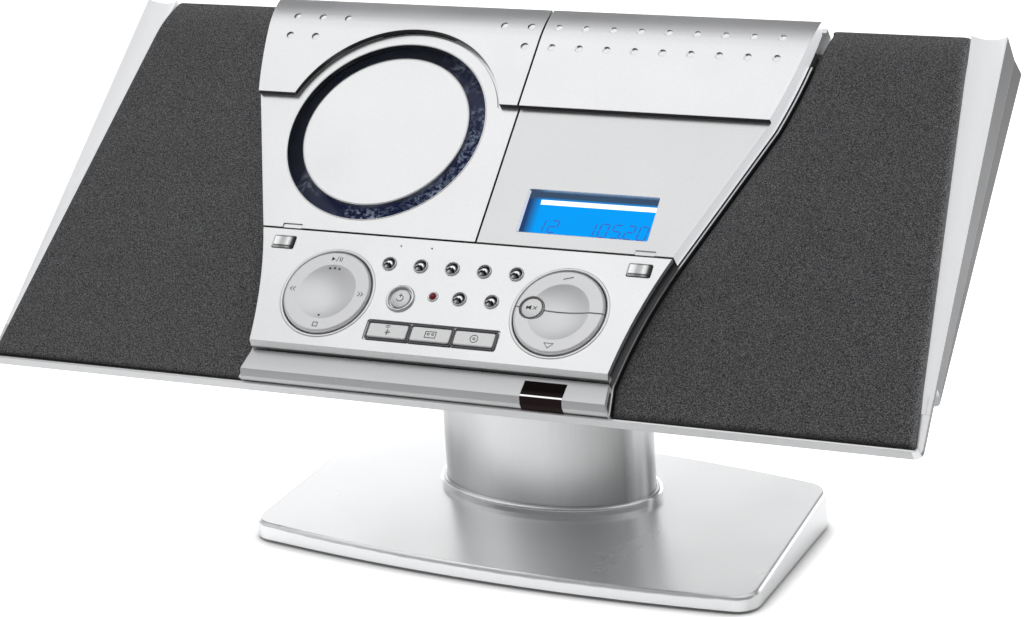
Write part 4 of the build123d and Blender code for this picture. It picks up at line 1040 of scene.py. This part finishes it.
class RadioSizes(bpy.types.PropertyGroup):
    """Sizes of the pieces that are added here"""

    disc_radius: FloatProperty(
        name="Disc radius", description="Radius of the disc on the turntable", unit="LENGTH", default=0.060,
    )
    disc_thickness: FloatProperty(
        name="Disc thickness", description="Thickness of the disc", unit="LENGTH", default=0.0012,
    )
    mark_height: FloatProperty(
        name="Mark height", description="Height of the printed marks over their face", unit="LENGTH",
        default=0.00012,
    )
    cloth_roll: FloatProperty(
        name="Cloth roll", description="Radius of the cloth over the edges of its frame", unit="LENGTH",
        default=0.0034,
    )


class RadioStage(bpy.types.PropertyGroup):
    """Floor and lights"""

    floor_colour: FloatVectorProperty(
        name="Floor", description="Colour of the floor", subtype="COLOR", min=0, max=1,
        default=(0.7, 0.7, 0.7),
    )
    room_light: FloatProperty(name="Room light", description="Brightness of the room", default=1.0, min=0)
    softbox_power: FloatProperty(name="Softbox", description="Power of the large softbox", default=2.5, min=0)


# Pieces


class RADIO_OT_paint_stand(bpy.types.Operator):
    """Paint the base, its feet, the column and its collar"""

    bl_idname = "radio.paint_stand"
    bl_label = "Paint the stand"

    def execute(self, context):
        paint("base paint", "base_plate")
        paint("column metal", "column")
        paint("collar trim", "column_collar")
        paint("rubber", "rubber_feet")
        paint("steel", "base_weight", "stand_bracket")
        return {"FINISHED"}


class RADIO_OT_paint_housing(bpy.types.Operator):
    """Paint the front tray, the rear cover and what is set in them"""

    bl_idname = "radio.paint_housing"
    bl_label = "Paint the housing"

    def execute(self, context):
        paint("shell paint", "front_tray")
        paint("rear paint", "rear_cover")
        paint("strip paint", "bottom_strip")
        paint("dark trim", "console_trim")
        paint("infrared filter", "ir_window")
        paint("black plastic", "power_inlet")
        paint("steel", "screws")
        return {"FINISHED"}


class RADIO_OT_paint_lids(bpy.types.Operator):
    """Paint both lids and the console panel"""

    bl_idname = "radio.paint_lids"
    bl_label = "Paint the lids and the console"

    def execute(self, context):
        paint("left lid paint", "lid_left_plate", "lid_left_cover")
        paint("right lid paint", "lid_right_cover")
        paint("right plate paint", "lid_right_plate")
        paint("panel paint", "console_panel", "ring_plate")
        paint("ring tint", "ring_window")
        return {"FINISHED"}


class RADIO_OT_paint_controls(bpy.types.Operator):
    """Paint the keys, the buttons and the two round pads"""

    bl_idname = "radio.paint_controls"
    bl_label = "Paint the controls"

    def execute(self, context):
        small = ("preset_down", "preset_up", "program", "repeat", "equalizer", "sleep", "timer")
        paint("chrome", *[f"{name}_button" for name in small])
        paint("left key chrome", "open_key_left")
        paint("right key chrome", "open_key_right")
        paint("dish satin", "transport_pad", "volume_up_key", "volume_down_key")
        paint("key face", "power_button", "mute_button", "band_key", "tape_key", "disc_key")
        return {"FINISHED"}


class RADIO_OT_paint_inside(bpy.types.Operator):
    """Paint the chassis, the drives, the boards and the loudspeakers"""

    bl_idname = "radio.paint_inside"
    bl_label = "Paint the inside"

    def execute(self, context):
        paint("black plastic", "inner_chassis", "pad_carrier", "turntable", "laser_sled")
        paint("black plastic", "reel_spindle_left", "reel_spindle_right")
        paint("steel", "cd_chassis", "cassette_deck", "spindle_motor")
        paint("steel", "capstan_flywheel", "head_plate", "transformer")
        paint("steel rod", "lead_screw", "guide_rod")
        paint("circuit", "key_board", "main_board")
        paint("grille frame", "speaker_left", "speaker_right")
        paint("display", "lcd_display")
        return {"FINISHED"}


class RADIO_OT_add_grilles(bpy.types.Operator):
    """Stretch cloth over both loudspeaker grilles"""

    bl_idname = "radio.add_grilles"
    bl_label = "Add the grille cloth"

    def select_rim(self, piece):
        """Enter edit mode with the edges where the cloth turns over to the grille's sides."""
        beside = {}
        for face in piece.data.polygons:
            for key in face.edge_keys:
                beside.setdefault(tuple(sorted(key)), []).append(face.normal.copy())
        select_edges(piece, lambda start, end: False)
        bpy.ops.object.mode_set(mode="OBJECT")
        for edge in piece.data.edges:
            faces = sorted(beside[tuple(sorted(edge.vertices))], key=panel_out.dot)
            side, outer = faces[0], faces[-1]
            upright = abs(side.dot(panel_out)) < 0.25 and side.dot(panel_up) < 0.5
            edge.select = upright and outer.dot(panel_out) > 0.3
        bpy.ops.object.mode_set(mode="EDIT")

    def execute(self, context):
        for name in ("grille_left", "grille_right"):
            piece = nodes[name].copy()
            piece.data = nodes[name].data.copy()
            piece.parent = None
            for key in list(piece.keys()):
                del piece[key]
            context.scene.collection.objects.link(piece)
            only(piece)
            bpy.ops.object.mode_set(mode="EDIT")
            bpy.ops.mesh.select_all(action="SELECT")
            bpy.ops.mesh.remove_doubles(threshold=1e-6)
            bpy.ops.mesh.dissolve_limited(angle_limit=radians(0.5))
            bpy.ops.object.mode_set(mode="OBJECT")
            if not piece.data.polygons:
                raise RuntimeError(f"{name} has no faces to cover")
            self.select_rim(piece)
            bpy.ops.mesh.bevel(offset=context.scene.radio_sizes.cloth_roll, segments=6, affect="EDGES",
                               clamp_overlap=False)
            bpy.ops.object.mode_set(mode="OBJECT")
            smooth(piece, 40)
            finish_piece(piece, name + "_cloth", finish("grille cloth"), "housing")
            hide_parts(name)
        return {"FINISHED"}


class RADIO_OT_add_disc(bpy.types.Operator):
    """Lay a disc on the turntable"""

    bl_idname = "radio.add_disc"
    bl_label = "Add the disc"

    def execute(self, context):
        sizes = context.scene.radio_sizes
        hole, outer = 7.5, sizes.disc_radius / MM
        low = -11.88
        high = low + sizes.disc_thickness / MM
        soft, round_edge = 0.1, 0.15
        profile = [(hole, high - soft), (hole + soft, high)]
        profile += [(17.2, high), (17.6, high + 0.12), (18.0, high)]
        profile += [(outer - round_edge, high), (outer, high - round_edge)]
        profile += [(outer, low + round_edge), (outer - round_edge, low)]
        profile += [(hole + soft, low), (hole, low + soft), (hole, high - soft)]
        piece = spun(profile, panel_matrix(DISC_X, 0, 0), 128)
        finish_piece(piece, "disc", finish("disc print"), "turntable")
        return {"FINISHED"}


class RADIO_OT_add_ring_trim(bpy.types.Operator):
    """Add the thin bright lips on both sides of the window ring"""

    bl_idname = "radio.add_ring_trim"
    bl_label = "Add the ring's trim"

    def execute(self, context):
        place = panel_matrix(DISC_X, 0, 0)
        outer = rounded_ring(53.95, 54.75, -0.05, 0.28, place, 128)
        finish_piece(outer, "ring_outer_lip", finish("collar trim"), "lid_left")
        inner = rounded_ring(44.9, 45.5, -0.75, 0.1, place, 128)
        finish_piece(inner, "ring_inner_lip", finish("collar trim"), "lid_left")
        return {"FINISHED"}


SEGMENTS = {
    "0": "abcdef", "1": "bc", "2": "abged", "3": "abgcd", "4": "fgbc",
    "5": "afgcd", "6": "afgedc", "7": "abc", "8": "abcdefg", "9": "abcdfg",
}


class RADIO_OT_add_display(bpy.types.Operator):
    """Add the numerals, the row of ticks and the white glowing bar along the top of the display"""

    bl_idname = "radio.add_display"
    bl_label = "Add the display's pieces"

    face = -4.48

    def numeral(self, digit, x, v, width, height, segment):
        """Segments of one leaning numeral, copied from a first one."""
        lean = radians(9)
        half = height / 2
        spots = {
            "a": (width / 2, height, 0), "g": (width / 2, half, 0), "d": (width / 2, 0, 0),
            "f": (0, half * 1.5, 1), "b": (width, half * 1.5, 1),
            "e": (0, half * 0.5, 1), "c": (width, half * 0.5, 1),
        }
        pieces = []
        for key in SEGMENTS[digit]:
            dx, dv, upright = spots[key]
            turn = pi / 2 - lean if upright else 0.0
            shift = dv * sin(lean)
            pieces.append(copy_piece(segment, panel_matrix(x + dx + shift, v + dv, self.face, turn)))
        return pieces

    def execute(self, context):
        width, height, thick = 4.3, 7.6, 0.06
        segment = pointed_bar(3.5, 0.62, thick)
        pieces = []
        digit_pitch, small_pitch, tick_pitch = 6.9, 7.2, 4.6
        for index, digit in enumerate("10520"):
            pieces += self.numeral(digit, 60.6 + index * digit_pitch, -51.0, width, height, segment)
        for index, digit in enumerate("12"):
            pieces += self.numeral(digit, 33.6 + index * small_pitch, -50.4, width, height * 0.9, segment)
        pieces.append(bar(0.7, 0.7, thick, panel_matrix(80.2, -51.0, self.face)))
        for index in range(12):
            pieces.append(bar(2.6, 0.5, thick, panel_matrix(42.0 + index * tick_pitch, -53.2, self.face)))
        bpy.data.objects.remove(segment)
        finish_piece(join(pieces), "display_numerals", finish("numerals"), "housing")
        # A white bar that glows along the top of the display.
        light = bar(63.0, 2.7, 0.25, panel_matrix(64.6, -33.4, self.face), 0.1)
        finish_piece(light, "display_white_bar", finish("white glowing bar"), "housing")
        return {"FINISHED"}


class RADIO_OT_add_button_trim(bpy.types.Operator):
    """Add the plated rings round the buttons, the pads, the power button and the standby light"""

    bl_idname = "radio.add_button_trim"
    bl_label = "Add the button trim"

    def execute(self, context):
        row = [(x, SMALL_ROW_V) for x in SMALL_ROW_X] + [(x, LOWER_ROW_V) for x in LOWER_ROW_X]
        first = rounded_ring(3.2, 3.85, 0.48, 0.86, Matrix(), 48)
        for index, (x, v) in enumerate(row):
            ring = copy_piece(first, panel_matrix(x, v, 0))
            finish_piece(ring, f"button_ring_{index + 1}", finish("key plating"), "housing")
        bpy.data.objects.remove(first)
        power = rounded_ring(6.05, 7.5, 0.65, 1.15, panel_matrix(*POWER, 0), 72)
        finish_piece(power, "power_ring", finish("key plating"), "housing")
        for index, x in enumerate((-PAD_X, PAD_X)):
            collar = rounded_ring(24.02, 25.6, -0.05, 0.3, panel_matrix(x, PAD_V, 0), 112)
            name = ("transport", "volume")[index] + "_collar"
            finish_piece(collar, name, finish("panel paint"), "housing")
        mute = rounded_ring(5.1, 5.9, 0.85, 1.25, panel_matrix(*MUTE, 0), 64)
        finish_piece(mute, "mute_rim", finish("frame metal"), "mute_button")
        standby = panel_matrix(STANDBY_X, LOWER_ROW_V, 0)
        led_ring = rounded_ring(1.75, 2.9, -0.02, 0.5, standby, 48)
        finish_piece(led_ring, "standby_ring", finish("key plating"), "housing")
        radius, foot, rise = 1.6, 0.42, 0.95
        dome = [(radius * cos(radians(a)), foot + rise * sin(radians(a))) for a in range(0, 91, 15)]
        lens = spun(dome + [(0, foot), (radius, foot)], standby, 32)
        finish_piece(lens, "standby_lens", finish("red lens"), "housing")
        return {"FINISHED"}


class RADIO_OT_add_key_frames(bpy.types.Operator):
    """Add the dark bevelled frames round the three rectangular keys"""

    bl_idname = "radio.add_key_frames"
    bl_label = "Add the key frames"

    def execute(self, context):
        first = rounded_frame(23.3, 10.6, 0.75, 1.05, 1.3, Matrix())
        for index, x in enumerate((-KEY_PITCH, 0, KEY_PITCH)):
            piece = copy_piece(first, panel_matrix(x, KEY_V, -0.99))
            finish_piece(piece, f"key_frame_{index + 1}", finish("frame metal"), "housing")
        bpy.data.objects.remove(first)
        return {"FINISHED"}


class RADIO_OT_add_marks(bpy.types.Operator):
    """Add the raised dots and the printed signs on the pads, keys and buttons"""

    bl_idname = "radio.add_marks"
    bl_label = "Add the marks"

    def arrows(self, middle, side):
        """Two small open arrowheads side by side."""
        x, v = middle
        lines = []
        for shift in (-0.8, 0.8):
            tip = (x + shift + 0.6 * side, v)
            for half in (1.1, -1.1):
                lines.append(stroke((x + shift - 0.5 * side, v + half), tip, 0.28))
        return lines

    def execute(self, context):
        ink = finish("ink")
        px, vx, pv = -PAD_X, PAD_X, PAD_V
        play = [flat_plate(3, 1.25, (-2.4, 18.9), radians(-90))]
        play += [stroke((-0.3, 17.6), (0.5, 20.2), 0.26)]
        play += [stroke((x, 17.8), (x, 20.0), 0.3) for x in (1.6, 2.6)]
        play += self.arrows((-18.9, 0), -1) + self.arrows((18.9, 0), 1)
        play += closed_line([(-1.2, -20.2), (1.2, -20.2), (1.2, -17.9), (-1.2, -17.9)], 0.3)
        drape(play, "transport_signs", "transport_pad", px, pv, ink, "transport_pad")
        radius, rise, sunk = 0.62, 0.42, -0.5
        dome = [(radius * cos(radians(a)), rise * sin(radians(a))) for a in range(0, 91, 18)]
        first = spun(dome + [(0, sunk), (radius, sunk), (radius, 0)], Matrix(), 20)
        dots = []
        for dx, dv in ((-2.6, 13.6), (0, 13.9), (2.6, 13.6), (0, -13.4)):
            x, v = px + dx, pv + dv
            dots.append(copy_piece(first, panel_matrix(x, v, face_height("transport_pad", x, v))))
        bpy.data.objects.remove(first)
        finish_piece(join(dots), "transport_dots", finish("frame metal"), "transport_pad")
        up = [stroke((-2.3, 18.2), (2.3, 19.6), 0.4)]
        drape(up, "louder_sign", "volume_up_key", vx, pv, ink, "volume_up_key")
        down = closed_line([(-2.4, -17.6), (0, -20.4), (2.4, -17.6)], 0.26)
        drape(down, "quieter_sign", "volume_down_key", vx, pv, ink, "volume_down_key")
        power = [flat_arc(1.7, 0.34, 125, 415), stroke((0, 0.6), (0, 2.4), 0.34)]
        drape(power, "power_sign", "power_button", *POWER, ink, "power_button")
        mute = [flat_plate(3, 1.5, (-0.9, 0), radians(90)), stroke((-2.3, -0.3), (-2.3, 0.3), 0.9)]
        mute += [stroke((1.0, -0.8), (2.6, 0.8), 0.3), stroke((1.0, 0.8), (2.6, -0.8), 0.3)]
        drape(mute, "mute_sign", "mute_button", *MUTE, ink, "mute_button")
        band = [stroke((0, -2.3), (0, 0.9), 0.34)]
        for reach in (1.2, 2.1):
            band += [flat_arc(reach, 0.3, start, start + 80, (0, 0.9)) for start in (-40, 140)]
        drape(band, "band_sign", "band_key", -KEY_PITCH, KEY_V, ink, "band_key")
        tape = closed_line([(-2.8, -1.7), (2.8, -1.7), (2.8, 1.7), (-2.8, 1.7)], 0.3)
        tape += [flat_arc(0.55, 0.3, 0, 360, (x, 0.2)) for x in (-1.2, 1.2)]
        drape(tape, "tape_sign", "tape_key", 0, KEY_V, ink, "tape_key")
        disc = [flat_arc(2.0, 0.3, 0, 360), flat_arc(0.6, 0.3, 0, 360)]
        drape(disc, "disc_sign", "disc_key", KEY_PITCH, KEY_V, ink, "disc_key")
        dots = [flat_plate(12, 0.45, (x, 0)) for x in (-31.6, -14.6)]
        drape(dots, "preset_dots", "console_panel", 0, -67.6, ink, "housing")
        return {"FINISHED"}


class RADIO_OT_set_stage(bpy.types.Operator):
    """Add the floor, the lights and the camera"""

    bl_idname = "radio.set_stage"
    bl_label = "Set the stage"

    def soft_light(self, name, place, target, size, power):
        """Rectangular light that looks at a target."""
        deselect()
        bpy.ops.object.light_add(type="AREA", location=place)
        light = bpy.context.object
        light.name = name
        light.data.shape = "RECTANGLE"
        light.data.size, light.data.size_y = size
        light.data.energy = power
        light.rotation_euler = (Vector(target) - Vector(place)).to_track_quat("-Z", "Y").to_euler()

    def room(self, context):
        """Room light by direction: bright overhead and low behind, grey high behind, dark in front."""
        world = bpy.data.worlds.new("studio room")
        context.scene.world = world
        world.use_nodes = True
        tree = world.node_tree
        back = tree.nodes["Background"]
        back.inputs["Strength"].default_value = context.scene.radio_stage.room_light
        direction = add(tree, "ShaderNodeTexCoord").outputs["Generated"]
        x, y, z = add(tree, "ShaderNodeSeparateXYZ", Vector=direction).outputs
        dim, bright_wall = (0.16, 0.16, 0.165), (3.2, 3.2, 3.2)
        front = ramp_between(tree, y, 0.1, -0.5)
        sides = mix_colour(tree, front, (0.75, 0.75, 0.76), dim)
        behind, low = ramp_between(tree, y, 0.25, 0.7), ramp_between(tree, z, 0.6, 0.4)
        low_behind = calculate(tree, "MULTIPLY", behind, low)
        with_back = mix_colour(tree, low_behind, sides, bright_wall)
        behind, high = ramp_between(tree, y, 0.0, 0.3), ramp_between(tree, z, 0.45, 0.6)
        high_behind = calculate(tree, "MULTIPLY", behind, high)
        with_grey = mix_colour(tree, high_behind, with_back, dim)
        right = ramp_between(tree, x, 0.35, 0.8)
        with_right = mix_colour(tree, right, with_grey, (0.22, 0.22, 0.225))
        above, before = ramp_between(tree, z, 0.78, 0.88), ramp_between(tree, y, 0.3, -0.02)
        overhead = calculate(tree, "MULTIPLY", above, before)
        across = mix_colour(tree, ramp_between(tree, x, -0.6, -0.25), (1.1, 1.1, 1.1), (0.84, 0.84, 0.845))
        top = mix_colour(tree, overhead, with_right, across)
        tree.links.new(top, back.inputs["Color"])

    def floor_look(self, colour):
        """Pale floor that stays white for the camera, with a narrow painted shadow where something stands on
        it.
        """
        material, shader = new_material("studio floor", 0.0, 0.85)
        tree = material.node_tree
        grain = group_node(material, "paint_grain", Colour=(*colour, 1), Flake_size=300.0,
                           Flake_contrast=0.01)
        tree.links.new(grain.outputs["Colour"], shader.inputs["Base Color"])
        # Painted shadow: the glow fades where something stands close by.
        near = add(tree, "ShaderNodeAmbientOcclusion", samples=8, Distance=0.016)
        open_floor = ramp_between(tree, near.outputs["AO"], 0.45, 0.9)
        path = add(tree, "ShaderNodeLightPath")
        # Painted pool of light, seen only by rays that are not the camera's.
        pool_middle = (-0.15, -0.45, 0)
        away = between_vectors(tree, "DISTANCE", place_in_piece(tree), pool_middle, "Value")
        pool = ramp_between(tree, away, 0.3, 0.9, 0.95, 0.12)
        shown = ramp_between(tree, path.outputs["Is Camera Ray"], 0.0, 1.0, pool, 0.9)
        shader.inputs["Emission Color"].default_value = (1, 1, 1, 1)
        tree.links.new(calculate(tree, "MULTIPLY", open_floor, shown), shader.inputs["Emission Strength"])
        return material

    def execute(self, context):
        settings = context.scene.radio_stage
        deselect()
        bpy.ops.mesh.primitive_plane_add(size=60, location=(0, 1.0, 0))
        floor = bpy.context.object
        floor.name = "floor"
        floor.data.materials.append(self.floor_look(settings.floor_colour))
        self.room(context)
        middle = (0, 0, 0.15)
        power = settings.softbox_power
        self.soft_light("softbox above", (-0.5, -0.2, 1.7), middle, (1.6, 1.2), power)
        self.soft_light("softbox left", (-1.5, -1.0, 0.9), middle, (0.9, 1.1), power * 0.5)
        self.soft_light("strip right", (1.25, 0.15, 0.5), middle, (0.25, 1.0), power * 0.2)
        yaw, pitch, roll = (radians(angle) for angle in CAMERA_ANGLES)
        turned = Matrix.Rotation(yaw, 3, "Z") @ Matrix.Rotation(-pitch, 3, "X")
        ahead, right, up = turned @ Vector((0, 1, 0)), turned @ Vector((1, 0, 0)), turned @ Vector((0, 0, 1))
        right, up = right * cos(roll) + up * sin(roll), up * cos(roll) - right * sin(roll)
        deselect()
        bpy.ops.object.camera_add(location=CAMERA_PLACE)
        camera = bpy.context.object
        camera.name = "camera"
        place = camera.location.copy()
        camera.matrix_world = Matrix.Translation(place) @ Matrix((right, up, -ahead)).transposed().to_4x4()
        camera.data.sensor_fit = "HORIZONTAL"
        camera.data.sensor_width = SENSOR_WIDTH
        camera.data.lens = SENSOR_WIDTH * FOCAL_PIXELS / IMAGE_WIDTH
        camera.data.clip_end = 100
        context.scene.camera = camera
        context.scene.view_settings.view_transform = "Standard"
        return {"FINISHED"}


STEPS = (
    RADIO_OT_paint_stand,
    RADIO_OT_paint_housing,
    RADIO_OT_paint_lids,
    RADIO_OT_paint_controls,
    RADIO_OT_paint_inside,
    RADIO_OT_add_grilles,
    RADIO_OT_add_disc,
    RADIO_OT_add_ring_trim,
    RADIO_OT_add_display,
    RADIO_OT_add_button_trim,
    RADIO_OT_add_key_frames,
    RADIO_OT_add_marks,
    RADIO_OT_set_stage,
)


class RADIO_PT_finishes(bpy.types.Panel):
    """Lists the radio's steps and their settings"""

    bl_label = "Desk radio"
    bl_idname = "RADIO_PT_finishes"
    bl_space_type = "VIEW_3D"
    bl_region_type = "UI"
    bl_category = "Radio"

    def draw(self, context):
        layout = self.layout
        for settings in (context.scene.radio_finish, context.scene.radio_sizes, context.scene.radio_stage):
            box = layout.box()
            for name in settings.bl_rna.properties.keys():
                if name not in ("rna_type", "name"):
                    box.prop(settings, name)
        for step in STEPS:
            layout.operator(step.bl_idname)


def register():
    """Add the settings, the steps and the sidebar panel to Blender."""
    for kind in (RadioFinish, RadioSizes, RadioStage, *STEPS, RADIO_PT_finishes):
        bpy.utils.register_class(kind)
    bpy.types.Scene.radio_finish = PointerProperty(type=RadioFinish)
    bpy.types.Scene.radio_sizes = PointerProperty(type=RadioSizes)
    bpy.types.Scene.radio_stage = PointerProperty(type=RadioStage)


def unregister():
    """Take the settings, the steps and the sidebar panel away again."""
    del bpy.types.Scene.radio_finish
    del bpy.types.Scene.radio_sizes
    del bpy.types.Scene.radio_stage
    for kind in (RADIO_PT_finishes, *reversed(STEPS), RadioStage, RadioSizes, RadioFinish):
        bpy.utils.unregister_class(kind)


def main():
    """Make every piece in order."""
    register()
    for step in STEPS:
        group, name = step.bl_idname.split(".")
        getattr(getattr(bpy.ops, group), name)()


if __name__ == "__main__":
    main()
